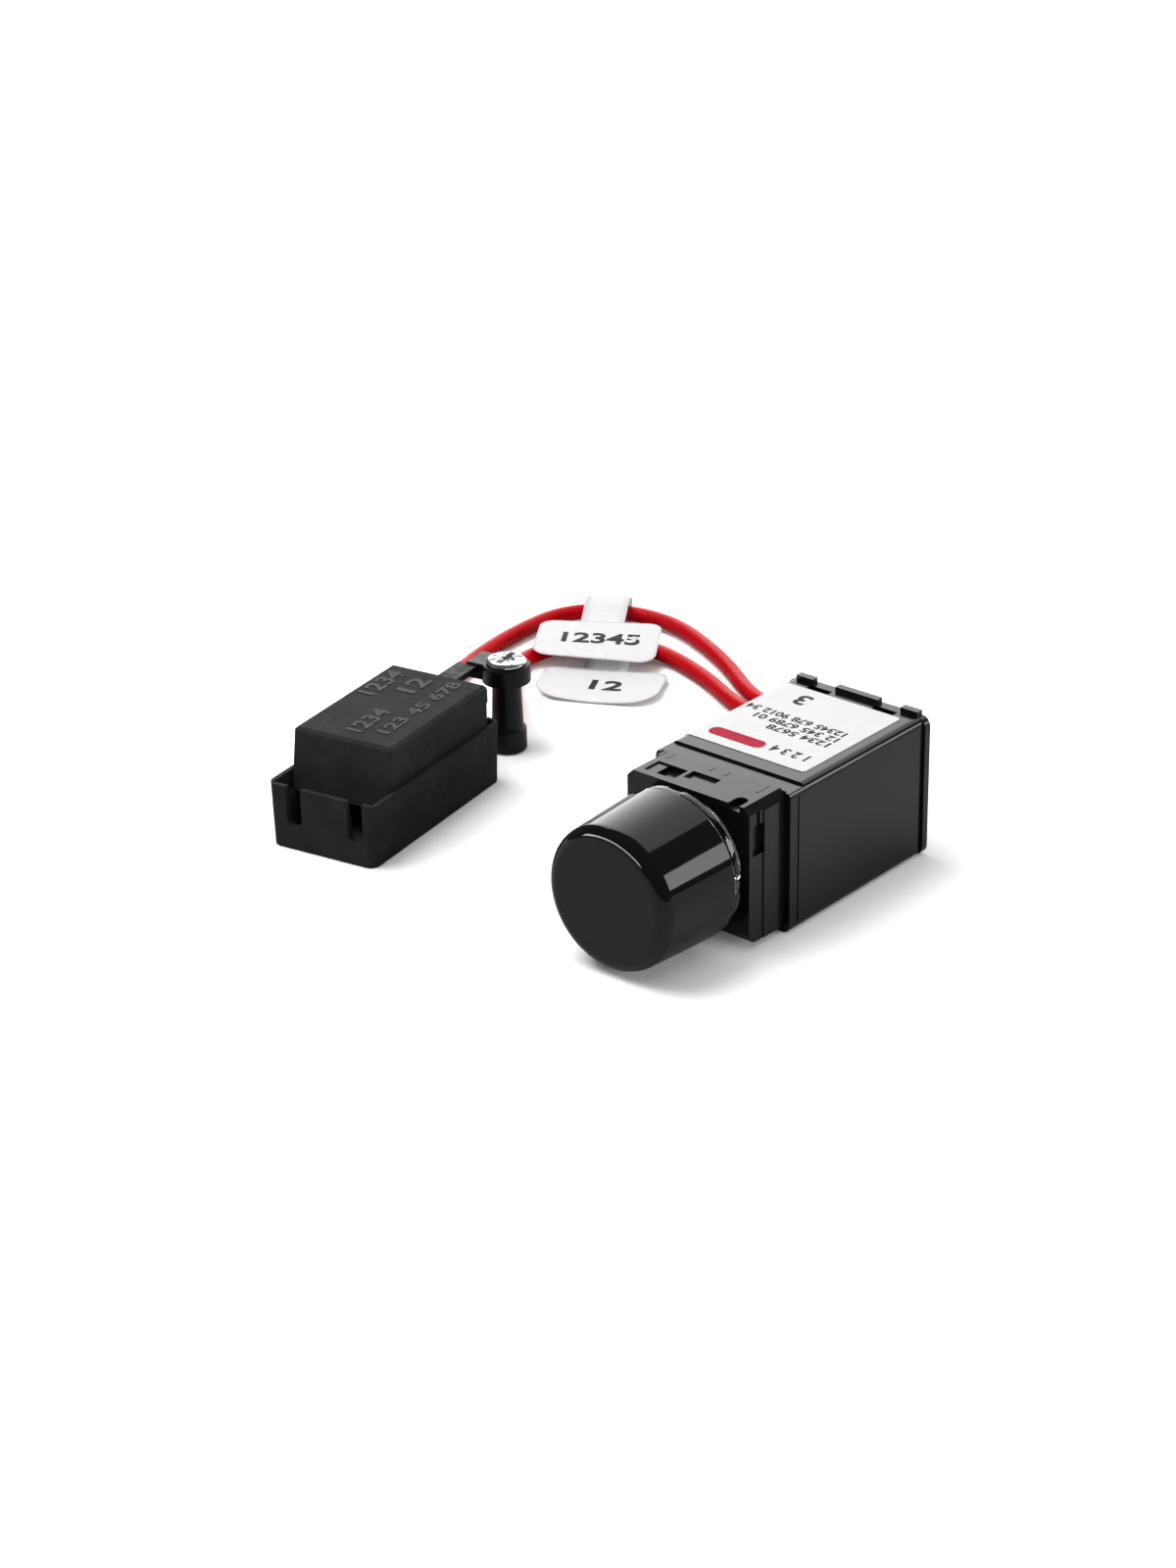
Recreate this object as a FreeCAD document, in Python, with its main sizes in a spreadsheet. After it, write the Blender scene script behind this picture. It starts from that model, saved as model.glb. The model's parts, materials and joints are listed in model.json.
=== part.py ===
import FreeCAD, Part
import math
import os
import re

import Sketcher
from FreeCAD import Placement, Rotation, Vector

# Rotary dimmer switch module with two flying leads and a loose terminal shroud, in millimetres.
# X is the width, Y the depth (knob at -Y, leads at +Y), Z up, and everything lies on z = 0.

SIZES = {
    # Housing sleeve
    "housing_width": 24.0,
    "housing_height": 22.0,
    "sleeve_length": 31.3,
    "shell_wall": 1.1,
    "housing_edge_radius": 1.2,
    "rim_band_length": 3.5,
    "rim_band_depth": 0.35,
    "rim_groove_offset": 1.7,
    "rim_groove_width": 0.3,
    "rim_groove_depth": 0.2,
    "rail_clearance": 1.1,
    "rail_height": 1.0,
    "rail_width": 1.3,
    "seat_rebate": 0.5,
    "rebate_clearance": 0.05,
    "clip_window_width": 3.9,
    "clip_window_length": 1.2,
    "clip_window_offset": 5.85,
    # Rear lid
    "lid_plate": 1.2,
    "lid_overhang": 0.4,
    "lid_corner_radius": 1.5,
    "lid_skirt_length": 1.8,
    "lid_skirt_wall": 1.0,
    "lid_skirt_clearance": 0.1,
    "lid_tab_rise": 0.7,
    "lid_hook_rise": 0.7,
    # Label
    "label_thickness": 0.1,
    "label_front_margin": 6.2,
    "label_rear_margin": 2.0,
    "label_right_edge": 9.5,
    "label_side_fold": 6.0,
    "label_corner_radius": 0.7,
    # Front adapter
    "adapter_width": 22.0,
    "adapter_drop": 1.1,
    "adapter_reach": 7.7,
    "adapter_front_wall": 1.5,
    "adapter_side_wall": 1.5,
    "adapter_chamfer": 1.2,
    "adapter_lip_radius": 1.5,
    "opening_side_margin": 1.6,
    "opening_floor_margin": 2.1,
    "neck_wall": 0.8,
    "adapter_floor_height": 2.6,
    "neck_length": 5.0,
    "neck_clearance": 0.15,
    "bulkhead_thickness": 1.5,
    "bulkhead_offset": 0.5,
    "latch_depth": 0.9,
    "latch_left": 8.8,
    "latch_right": 3.5,
    "latch_front": 1.2,
    "latch_rear": 4.5,
    "latch_ramp_width": 1.9,
    "latch_ramp_front": 1.6,
    "latch_ramp_depth": 0.25,
    "top_slot_left": 2.9,
    "top_slot_right": 2.0,
    "top_slot_front": 3.2,
    "top_slot_rear": 5.0,
    "slot_step_right": 1.2,
    "slot_step_front": 2.6,
    "top_notch_side": 8.1,
    "top_notch_radius": 1.0,
    "top_notch_reach": 1.6,
    "strip_depth": 0.15,
    "strip_length": 3.1,
    "pocket_depth": 0.9,
    "pocket_front": 0.7,
    "pocket_rear": 3.2,
    "pocket_low": 2.9,
    "pocket_high": 7.5,
    "notch_depth": 0.5,
    "notch_front": 1.6,
    "notch_rear": 2.3,
    "notch_high": 9.4,
    "rib_rise": 0.05,
    "rib_root": 0.5,
    "rib_width": 0.5,
    # Knob and guide ring
    "axis_rise": 0.5,
    "ring_gap": 3.8,
    "knob_length": 14.1,
    "push_travel": 1.2,
    "knob_floor_gap": 0.1,
    "knob_taper": 0.75,
    "knob_edge_radius": 2.0,
    "knob_wall": 1.4,
    "knob_face_wall": 1.6,
    "knob_boss_radius": 4.2,
    "knob_boss_length": 9.0,
    "knob_ring_gap": 0.3,
    "ring_flange_inset": 0.1,
    "ring_flange_thickness": 1.3,
    "ring_barrel_gap": 0.2,
    "ring_wall": 1.2,
    "ring_barrel_overlap": 1.2,
    "ring_collar_length": 2.3,
    "ring_notch_width": 2.4,
    "ring_notch_inset": 0.6,
    # Shaft, bushing and clip
    "shaft_radius": 3.0,
    "shaft_flat": 1.5,
    "shaft_tip_gap": 1.0,
    "shaft_tail": 8.0,
    "clip_thickness": 0.3,
    "clip_width": 4.0,
    "running_clearance": 0.05,
    "thread_radius": 4.0,
    "bushing_front": 5.0,
    "bushing_flange_radius": 7.0,
    "bushing_flange_thickness": 1.0,
    "nut_across_flats": 11.0,
    "nut_thickness": 2.0,
    "washer_radius": 5.6,
    "washer_thickness": 0.5,
    # Potentiometer
    "can_margin": 1.7,
    "can_length": 5.5,
    "can_wall": 0.6,
    "wafer_thickness": 0.8,
    "track_thickness": 0.1,
    "track_inner_radius": 4.7,
    "track_outer_radius": 6.2,
    "rotor_radius": 6.5,
    "rotor_thickness": 2.0,
    "wiper_thickness": 0.3,
    "wiper_gap": 0.3,
    "strip_width": 1.0,
    "strip_spacing": 2.5,
    "strip_thickness": 0.3,
    # Push switch
    "switch_base_thickness": 1.0,
    "switch_width": 14.0,
    "switch_pin_length": 1.1,
    "switch_pin_side": 4.0,
    "switch_pin_width": 0.8,
    "switch_length": 6.5,
    "switch_bore_radius": 3.3,
    "switch_end_wall": 0.6,
    "plunger_radius": 3.2,
    "plunger_head": 1.95,
    "plunger_pin_radius": 1.2,
    "plunger_pin": 1.6,
    "spring_wire": 0.4,
    "spring_radius": 2.2,
    "spring_turns": 3.5,
    "spring_corners": 10,
    # Circuit board and what stands on it
    "board_thickness": 1.2,
    "board_side_gap": 0.3,
    "board_front_gap": 0.2,
    "board_rear_gap": 0.2,
    "transistor_width": 7.0,
    "transistor_height": 10.0,
    "transistor_depth": 2.5,
    "transistor_lift": 3.6,
    "transistor_pitch": 2.3,
    "transistor_spacing": 7.4,
    "spreader_thickness": 1.2,
    "spreader_top_gap": 1.9,
    "spreader_length": 14.4,
    "choke_flange_radius": 4.2,
    "choke_waist_radius": 2.2,
    "choke_flange": 1.0,
    "choke_height": 9.0,
    "choke_side": 5.4,
    "choke_gap": 1.2,
    "winding_radius": 3.8,
    "film_cap_left": 0.4,
    "film_cap_radius": 0.6,
    "film_cap_width": 5.0,
    "film_cap_length": 7.0,
    "film_cap_height": 10.0,
    "electrolytic_radius": 3.15,
    "electrolytic_height": 11.0,
    "component_gap": 0.6,
    "fuse_width": 2.8,
    "fuse_length": 4.6,
    "fuse_height": 7.6,
    "chip_width": 4.0,
    "chip_length": 5.0,
    "chip_thickness": 1.4,
    "resistor_length": 3.2,
    "resistor_width": 1.6,
    "resistor_thickness": 0.6,
    "resistor_side": 4.5,
    "resistor_front": 3.0,
    "resistor_gap": 1.2,
    # Leads, grommets and tags
    "lead_diameter": 2.6,
    "conductor_radius": 0.6,
    "lead_height": 9.0,
    "active_lead_side": 3.2,
    "load_lead_side": 7.6,
    "grommet_spout": 2.4,
    "grommet_spout_radius": 1.95,
    "grommet_neck_radius": 1.75,
    "grommet_flange_radius": 2.1,
    "grommet_inner_flange": 0.8,
    "tag_thickness": 0.2,
    "tag_width": 20.5,
    "tag_depth": 12.5,
    "tag_corner_radius": 2.0,
    "tag_neck_width": 7.4,
    "tag_loop_gap": 0.6,
    "tag_loop_top_gap": 0.55,
    "tag_floor_gap": 0.05,
    "tag_angle": 27.0,
    "tag_plan_height": 20.0,
    # Terminal shroud
    "shroud_across": -59.35,
    "shroud_along": -9.71,
    "shroud_yaw": 10.2,
    "tray_width": 18.2,
    "tray_length": 35.2,
    "tray_height": 10.0,
    "tray_flare": 0.3,
    "tray_rim_wall": 0.7,
    "tray_wall": 1.1,
    "tray_floor": 1.2,
    "tray_corner_radius": 1.5,
    "ledge_height": 7.0,
    "slot_width": 2.6,
    "slot_bottom": 3.5,
    "front_slot_centre": 0.6,
    "front_slot_spacing": 10.8,
    "cover_width": 17.2,
    "cover_length": 26.5,
    "cover_shift": 2.1,
    "cover_top": 16.6,
    "cover_front_draft": 9.0,
    "cover_wall": 1.0,
    "cover_edge_chamfer": 0.5,
    "pole_side": 5.7,
    "pole_width": 4.0,
    "pole_height": 5.6,
    "pole_length": 12.0,
    "pole_rear": 9.0,
    "pole_bore_radius": 0.8,
    "lead_entry_height": 4.6,
    "terminal_screw_head_radius": 1.7,
    "terminal_screw_head_height": 1.1,
    "terminal_screw_radius": 1.0,
    "terminal_screw_depth": 1.2,
    "terminal_screw_spacing": 6.0,
    # Pillar and strap
    "pillar_side": 4.22,
    "pillar_rear": 27.83,
    "pillar_collar_radius": 2.95,
    "pillar_collar_height": 4.0,
    "pillar_shank_radius": 2.5,
    "pillar_neck_radius": 2.25,
    "pillar_head_radius": 3.8,
    "pillar_head_thickness": 2.8,
    "pillar_top": 14.5,
    "pillar_arm_length": 5.8,
    "pillar_arm_width": 4.6,
    "sleeve_radius": 1.6,
    "sleeve_bore_radius": 1.05,
    "sleeve_bottom": 3.5,
    "screw_head_radius": 3.2,
    "screw_head_thickness": 0.9,
    "screw_seat_gap": 0.05,
    "screw_shank_radius": 1.0,
    "screw_slot_width": 0.8,
    "screw_slot_depth": 0.5,
    "pad_thickness": 0.5,
    "pillar_entry_height": 6.5,
    "pillar_entry_angle": 130.8,
    "spout_radius": 1.9,
    "spout_reach": 3.6,
    "strap_width": 3.4,
    "strap_thickness": 1.0,
    "strap_side": -1.4,
    "strap_drop": 0.4,
    "strap_foot_bottom": 7.4,
}

# The two leads' routes over the floor, from the grommet to the terminal, chosen by hand.
ACTIVE_ROUTE = [
    (-3.2, 31.45, 9.0), (-3.2, 39.4, 9.0), (-7.2, 46.3, 8.0), (-14.1, 50.3, 6.0), (-25.0, 51.1, 3.2),
    (-38.5, 53.4, 1.5), (-54.0, 64.6, 1.4), (-72.0, 71.6, 1.7), (-86.5, 65.1, 1.7), (-88.0, 50.6, 1.35),
    (-84.5, 32.6, 1.35), (-77.4, 21.0, 1.7), (-68.89, 11.13, 4.6), (-66.68, -1.17, 4.6),
]
LOAD_ROUTE = [
    (-7.6, 31.45, 9.0), (-7.6, 38.4, 9.0), (-11.2, 44.5, 8.0), (-17.8, 48.0, 6.0), (-27.0, 47.6, 3.0),
    (-38.0, 49.5, 1.5), (-52.0, 57.1, 1.4), (-66.0, 60.4, 1.7), (-77.0, 54.1, 1.7), (-80.0, 43.1, 1.35),
    (-74.0, 34.1, 1.7), (-67.7, 27.2, 6.5), (-62.48, 21.15, 6.5),
]
# Where each tag hangs on its lead, and how far from the lead and how high its body lies.
ACTIVE_TAG = {"at": (-80.9, 67.6), "neck": 10.5, "rear_height": 3.5, "front_height": 3.45}
LOAD_TAG = {"at": (-70.9, 57.6), "neck": 8.5, "rear_height": 0.3, "front_height": 1.2}

# Stations along the depth and heights, as formulas of the sizes.
SEAT = "((adapter_reach + ring_gap + knob_length - sleeve_length - lid_plate) / 2)"
LID = f"({SEAT} + sleeve_length)"
REAR = f"({LID} + lid_plate)"
ADAPTER_FRONT = f"({SEAT} - adapter_reach)"
KNOB_REAR = f"({ADAPTER_FRONT} - ring_gap)"
KNOB_FRONT = f"({KNOB_REAR} - knob_length)"
RING_FACE = f"({KNOB_REAR} + knob_ring_gap)"
AXIS = "(housing_height / 2 + axis_rise)"
BULKHEAD_REAR = f"({SEAT} + bulkhead_thickness - bulkhead_offset)"
BULKHEAD_FRONT = f"({SEAT} - bulkhead_offset)"
CAN_FRONT = f"({BULKHEAD_REAR} + bushing_flange_thickness)"
CAN_RADIUS = "(housing_height / 2 - shell_wall - can_margin)"
ADAPTER_HALF_HEIGHT = "((housing_height - adapter_drop) / 2)"
ADAPTER_TOP = f"({AXIS} + {ADAPTER_HALF_HEIGHT})"
OPENING = f"(min(adapter_width / 2 - opening_side_margin; {AXIS} - opening_floor_margin))"
BARREL = f"({OPENING} - ring_barrel_gap)"
RING_BORE = f"({BARREL} - ring_wall)"
KNOB_REAR_RADIUS = f"({AXIS} - knob_floor_gap)"
KNOB_FRONT_RADIUS = f"({KNOB_REAR_RADIUS} - knob_taper)"
RING_FLANGE = f"({KNOB_REAR_RADIUS} - ring_flange_inset)"
CAN_REAR = f"({CAN_FRONT} + can_length)"
TRACK_FACE = f"({CAN_FRONT} + can_wall + wafer_thickness + track_thickness)"
WIPER_FRONT = f"({TRACK_FACE} + wiper_gap + 0.2)"
ROTOR_FRONT = f"({WIPER_FRONT} + wiper_thickness)"
SHAFT_END = f"({SEAT} + shaft_tail)"
PLUNGER_FRONT = f"({SHAFT_END} + running_clearance)"
SPRING_FRONT = f"({PLUNGER_FRONT} + plunger_head)"
SWITCH_FRONT = f"({CAN_REAR} + switch_base_thickness)"
SWITCH_REAR = f"({CAN_REAR} + switch_length)"
BORE_END = f"({SWITCH_REAR} - switch_end_wall)"
INNER_HALF_WIDTH = "(housing_width / 2 - shell_wall)"
BOARD_BOTTOM = "(shell_wall + rail_clearance + rail_height)"
BOARD_TOP = f"({BOARD_BOTTOM} + board_thickness)"
BOARD_HALF_WIDTH = f"({INNER_HALF_WIDTH} - board_side_gap)"
BOARD_FRONT = f"({SWITCH_FRONT} + board_front_gap)"
BOARD_REAR = f"({LID} - lid_skirt_length - board_rear_gap)"
SPREADER_LEFT = f"({BOARD_HALF_WIDTH} - spreader_thickness)"
POWER_FRONT = f"({SWITCH_REAR} + component_gap)"
SWITCH_HALF_HEIGHT = f"({AXIS} - {BOARD_TOP} - switch_pin_length)"
SPREADER_TOP = "(housing_height - shell_wall - spreader_top_gap)"
LEDGE = "ledge_height"
COVER_FRONT = "(cover_shift - cover_length / 2)"
COVER_REAR = "(cover_shift + cover_length / 2)"
POLE_TOP = "(tray_floor + pole_height)"
HEAD_BOTTOM = "(pillar_top - pillar_head_thickness)"

doc = FreeCAD.newDocument("RotaryDimmer")
sheet = doc.addObject("Spreadsheet::Sheet", "Sizes")
for row, (alias, size) in enumerate(SIZES.items(), start=1):
    sheet.set(f"A{row}", alias)
    sheet.set(f"B{row}", str(size))
    sheet.setAlias(f"B{row}", alias)
doc.recompute()


def value(alias):
    """The number in the sheet under this name."""
    return float(sheet.get(alias))


def bind(thing, target, formula):
    """Drive one property by a formula in which the sheet's names stand bare."""
    on_sheet = re.sub(r"[a-z][a-z_]+", lambda m: f"Sizes.{m[0]}" if m[0] in SIZES else m[0], formula)
    thing.setExpression(target, on_sheet)


def place(thing, x="0", y="0", z="0"):
    bind(thing, "Placement.Base.x", x)
    bind(thing, "Placement.Base.y", y)
    bind(thing, "Placement.Base.z", z)
    return thing


def block(name, x, y, z):
    """A box between two formulas along each axis."""
    box = doc.addObject("Part::Box", name)
    for length, (low, high) in (("Length", x), ("Width", y), ("Height", z)):
        bind(box, length, f"({high}) - ({low})")
    return place(box, x[0], y[0], z[0])


def rod(name, radius, y, x="0", z=AXIS):
    """A cylinder along the depth."""
    cylinder = doc.addObject("Part::Cylinder", name)
    cylinder.Placement = Placement(Vector(), Rotation(Vector(1, 0, 0), -90))
    bind(cylinder, "Radius", radius)
    bind(cylinder, "Height", f"({y[1]}) - ({y[0]})")
    return place(cylinder, x, y[0], z)


def post(name, radius, z, x="0", y="0"):
    """An upright cylinder."""
    cylinder = doc.addObject("Part::Cylinder", name)
    bind(cylinder, "Radius", radius)
    bind(cylinder, "Height", f"({z[1]}) - ({z[0]})")
    return place(cylinder, x, y, z[0])


def join(name, *pieces):
    fused = doc.addObject("Part::MultiFuse", name)
    fused.Shapes = list(pieces)
    return fused


def cut(name, base, *tools):
    difference = doc.addObject("Part::Cut", name)
    difference.Base = base
    difference.Tool = tools[0] if len(tools) == 1 else join(f"{name}Tools", *tools)
    return difference


def common(name, base, tool):
    overlap = doc.addObject("Part::Common", name)
    overlap.Base = base
    overlap.Tool = tool
    return overlap


def group(name, *pieces):
    """Several identical pieces kept as separate solids."""
    compound = doc.addObject("Part::Compound", name)
    compound.Links = list(pieces)
    return compound


def along(axis, test=None):
    """Picks the straight edges along one axis whose middle passes the test."""
    def picks(edge):
        if edge.Curve.TypeId != "Part::GeomLine":
            return False
        if abs(abs(edge.Curve.Direction.dot(axis)) - 1) > 1e-6:
            return False
        return test is None or test(edge.CenterOfMass)
    return picks


def round_edges(name, base, radius, picks, kind="Part::Fillet"):
    """Fillet or chamfer the picked edges with a size from the sheet."""
    doc.recompute()
    rounding = doc.addObject(kind, name)
    rounding.Base = base
    chosen = [i for i, edge in enumerate(base.Shape.Edges, start=1) if picks(edge)]
    rounding.Edges = [(i, radius, radius) for i in chosen]
    return rounding


def finish(thing, label):
    """Name the finished sub-part."""
    thing.Label = label
    return thing


def outline(body, role, corners):
    """A closed sketch of straight lines whose corners are formulas on one of the body's planes."""
    sketch = body.newObject("Sketcher::SketchObject", f"{body.Name}Outline")
    plane = next(feature for feature in body.Origin.OriginFeatures if feature.Role == role)
    sketch.AttachmentSupport = [(plane, "")]
    sketch.MapMode = "FlatFace"
    count = len(corners)
    start = [Vector(math.cos(math.tau * i / count), math.sin(math.tau * i / count), 0) for i in range(count)]
    for i in range(count):
        sketch.addGeometry(Part.LineSegment(start[i], start[(i + 1) % count]))
    for i in range(count):
        sketch.addConstraint(Sketcher.Constraint("Coincident", i, 2, (i + 1) % count, 1))
    for i, corner in enumerate(corners):
        for axis, formula in zip("XY", corner):
            constraint = sketch.addConstraint(Sketcher.Constraint(f"Distance{axis}", -1, 1, i, 1, 1.0))
            sketch.renameConstraint(constraint, f"{axis.lower()}{i}")
            bind(sketch, f"Constraints.{axis.lower()}{i}", formula)
    return sketch


def turned(name, corners, x="0", z=AXIS):
    """A body turned about an axis along the depth, from (radius, y) corners."""
    body = doc.addObject("PartDesign::Body", name)
    sketch = outline(body, "XY_Plane", corners)
    turning = body.newObject("PartDesign::Revolution", f"{name}Turning")
    turning.Profile = sketch
    turning.ReferenceAxis = (sketch, ["V_Axis"])
    turning.Angle = 360
    return place(body, x=x, z=z)


def turned_upright(name, corners, x="0", y="0"):
    """A body turned about an upright axis, from (radius, z) corners."""
    body = doc.addObject("PartDesign::Body", name)
    sketch = outline(body, "XZ_Plane", corners)
    turning = body.newObject("PartDesign::Revolution", f"{name}Turning")
    turning.Profile = sketch
    turning.ReferenceAxis = (sketch, ["V_Axis"])
    turning.Angle = 360
    return place(body, x=x, y=y)


def extruded(name, role, corners, length, backwards=False):
    """A body padded from a sketch on one of its planes."""
    body = doc.addObject("PartDesign::Body", name)
    sketch = outline(body, role, corners)
    pad = body.newObject("PartDesign::Pad", f"{name}Pad")
    pad.Profile = sketch
    pad.Reversed = backwards
    bind(pad, "Length", length)
    return body


def body_rounding(body, base, radius, picks, kind="PartDesign::Fillet"):
    """A fillet or chamfer as the body's last feature."""
    doc.recompute()
    rounding = body.newObject(kind, f"{body.Name}{kind[12:]}{len(body.Group)}")
    names = [f"Edge{i}" for i, edge in enumerate(base.Shape.Edges, start=1) if picks(edge)]
    rounding.Base = (base, names)
    bind(rounding, "Radius" if kind.endswith("Fillet") else "Size", radius)
    return rounding


def solid(name, shape):
    """A shape that no feature above can make."""
    thing = doc.addObject("Part::Feature", name)
    thing.Shape = shape
    return thing


# Housing

def housing_block(name, grow, y):
    """The housing's outside with rounded long edges, grown outwards by a formula."""
    half = f"(housing_width / 2 + {grow})"
    outside = block(name, (f"-{half}", half), y, (f"-({grow})", f"housing_height + {grow}"))
    radius = value("housing_edge_radius") + (value("label_thickness") if grow != "0" else 0)
    return round_edges(f"{name}Rounded", outside, radius, along(Vector(0, 1, 0)))


def mirrored_blocks(name, near, far, y, z):
    """A block and its mirror image across the middle plane."""
    return (block(f"{name}Left", (f"-({far})", f"-({near})"), y, z), block(f"{name}Right", (near, far), y, z))


def housing_sleeve():
    outside = housing_block("SleeveOutside", "0", (SEAT, LID))
    half = INNER_HALF_WIDTH
    inside = block("SleeveInside", (f"-{half}", half), (f"{SEAT} - 1", f"{LID} + 1"),
                   ("shell_wall", "housing_height - shell_wall"))
    band = block("RimBand", ("-housing_width / 2", "housing_width / 2"), (SEAT, f"{SEAT} + rim_band_length"),
                 ("housing_height - rim_band_depth", "housing_height + 1"))
    groove_y = (f"{SEAT} + rim_groove_offset", f"{SEAT} + rim_groove_offset + rim_groove_width")
    grooves = mirrored_blocks("RimGroove", "housing_width / 2 - rim_groove_depth", "housing_width / 2 + 1",
                              groove_y, ("housing_edge_radius", "housing_height - housing_edge_radius"))
    window_y = (f"{LID} - clip_window_length - 0.5", f"{LID} - 0.5")
    windows = mirrored_blocks("ClipWindow", "clip_window_offset - clip_window_width / 2",
                              "clip_window_offset + clip_window_width / 2", window_y,
                              ("housing_height - shell_wall - 1", "housing_height + 1"))
    rebate_half = "(adapter_width / 2 + rebate_clearance)"
    rebate = block("SeatRebate", (f"-{rebate_half}", rebate_half), (f"{SEAT} - 1", f"{SEAT} + seat_rebate"),
                   (f"{AXIS} - {ADAPTER_HALF_HEIGHT} - rebate_clearance", "housing_height + 1"))
    shell = cut("SleeveShell", outside, inside, band, rebate, *grooves, *windows)
    rails = mirrored_blocks("Rail", f"{half} - rail_width", half, (f"{BOARD_FRONT}", BOARD_REAR),
                            (f"{BOARD_BOTTOM} - rail_height", BOARD_BOTTOM))
    return finish(join("Sleeve", shell, *rails), "housing_sleeve")


def rear_lid():
    half = "(housing_width / 2 + lid_overhang)"
    plate = block("LidPlate", (f"-{half}", half), (LID, REAR), ("0", "housing_height"))
    rounded = round_edges("LidRounded", plate, value("lid_corner_radius"), along(Vector(0, 1, 0)))
    tab_z = ("housing_height - 1", "housing_height + lid_tab_rise")
    near_tab = "clip_window_offset + clip_window_width / 2 + 0.1"
    side_tabs = mirrored_blocks("LidTab", near_tab, f"{half} - lid_corner_radius", (LID, REAR), tab_z)
    mid_half = "(clip_window_offset - clip_window_width / 2 - 0.1)"
    middle_tab = block("LidMiddleTab", (f"-{mid_half}", mid_half), (LID, REAR), tab_z)
    skirt_y = (f"{LID} - lid_skirt_length", LID)
    outer = f"({INNER_HALF_WIDTH} - lid_skirt_clearance)"
    low = "(shell_wall + lid_skirt_clearance)"
    high = "(housing_height - shell_wall - lid_skirt_clearance)"
    skirt_block = block("SkirtBlock", (f"-{outer}", outer), skirt_y, (low, high))
    skirt_hole = block("SkirtHole", (f"-{outer} + lid_skirt_wall", f"{outer} - lid_skirt_wall"), skirt_y,
                       (f"{low} + lid_skirt_wall", f"{high} - lid_skirt_wall"))
    skirt = cut("LidSkirt", skirt_block, skirt_hole)
    hook_y = (f"{LID} - clip_window_length - 0.4", f"{LID} - 0.6")
    hooks = mirrored_blocks("LidHook", "clip_window_offset - clip_window_width / 2 + 0.1",
                            "clip_window_offset + clip_window_width / 2 - 0.1", hook_y,
                            (f"{high} - lid_skirt_wall", f"{high} + lid_hook_rise"))
    lid = join("LidJoined", rounded, *side_tabs, middle_tab, skirt, *hooks)
    holes = [rod(f"LidHole{i}", "grommet_neck_radius", (f"{LID} - 1", f"{REAR} + 1"), f"-{side}", "lead_height")
             for i, side in enumerate(("active_lead_side", "load_lead_side"))]
    return finish(cut("Lid", lid, *holes), "rear_lid")


def rating_label():
    span = (f"{SEAT} + label_front_margin", f"{LID} - label_rear_margin")
    grown = housing_block("LabelOutside", "label_thickness", span)
    core = housing_block("LabelInside", "0", span)
    skin = cut("LabelSkin", grown, core)
    window = block("LabelWindow", ("-housing_width / 2 - 1", "label_right_edge"), span,
                   ("housing_height - label_side_fold", "housing_height + 1"))
    rounded = round_edges("LabelWindowRounded", window, value("label_corner_radius"),
                          along(Vector(0, 0, 1), lambda p: p.x > 0))
    return finish(common("Label", skin, rounded), "rating_label")


# Front adapter, knob and guide ring

def adapter_details():
    """Cuts in the adapter's top and sides: latch windows, slots and pockets."""
    shallow = (f"{ADAPTER_TOP} - latch_depth / 2", f"{ADAPTER_TOP} + 1")
    deep = (f"{ADAPTER_TOP} - latch_depth", f"{ADAPTER_TOP} + 1")
    front = ADAPTER_FRONT
    side = "adapter_width / 2"
    top_slot_y = (f"{front} + top_slot_front", f"{front} + top_slot_rear")
    slot_step_y = (f"{front} + slot_step_front", f"{front} + top_slot_rear")
    latch_y = (f"{front} + latch_front", f"{front} + latch_rear")
    notch_mouth_x = ("top_notch_side - top_notch_radius", "top_notch_side + top_notch_radius")
    pocket_y = (f"{front} + pocket_front", f"{front} + pocket_rear")
    pocket_z = (f"{AXIS} + pocket_low", f"{AXIS} + pocket_high")
    side_notch_y = (f"{front} + notch_front", f"{front} + notch_rear")
    side_notch_z = (f"{AXIS} + pocket_high", f"{AXIS} + notch_high")
    return [
        block("TopSlot", ("-top_slot_left", "top_slot_right"), top_slot_y, shallow),
        block("TopSlotStep", ("-top_slot_left", "-slot_step_right"), slot_step_y, shallow),
        block("LatchWindow", ("-latch_left", "-latch_right"), latch_y, deep),
        post("TopNotch", "top_notch_radius", deep, "top_notch_side", f"{front} + top_notch_reach"),
        block("TopNotchMouth", notch_mouth_x, (f"{front} - 1", f"{front} + top_notch_reach"), deep),
        *mirrored_blocks("FrontStrip", f"{side} - strip_depth", f"{side} + 1",
                         (f"{front} - 1", f"{front} + strip_length"), ("0", "housing_height + 1")),
        *mirrored_blocks("SidePocket", f"{side} - pocket_depth", f"{side} + 1", pocket_y, pocket_z),
        *mirrored_blocks("SideNotch", f"{side} - notch_depth", f"{side} + 1", side_notch_y, side_notch_z),
    ]


# Each rib's left edge and its length in front of the seat.
TOP_RIBS = [("-10.2", "1.8"), ("-8.8", "1.8"), ("-1.6", "1.2"), ("1.0", "1.2"), ("7.9", "2.8")]


def adapter_additions():
    """Ribs on the adapter's top and the latch ramp, set into the window."""
    rib_z = (f"{ADAPTER_TOP} - rib_root", f"{ADAPTER_TOP} + rib_rise")
    ribs = [block(f"TopRib{i}", (left, f"{left} + rib_width"), (f"{SEAT} - {length}", SEAT), rib_z)
            for i, (left, length) in enumerate(TOP_RIBS)]
    ramp = block("LatchRamp", ("-latch_left", "latch_ramp_width - latch_left"),
                 (f"{ADAPTER_FRONT} + latch_ramp_front", f"{ADAPTER_FRONT} + latch_rear"),
                 (f"{ADAPTER_TOP} - latch_depth - latch_ramp_depth", f"{ADAPTER_TOP} - latch_ramp_depth"))
    return [*ribs, ramp]


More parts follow.
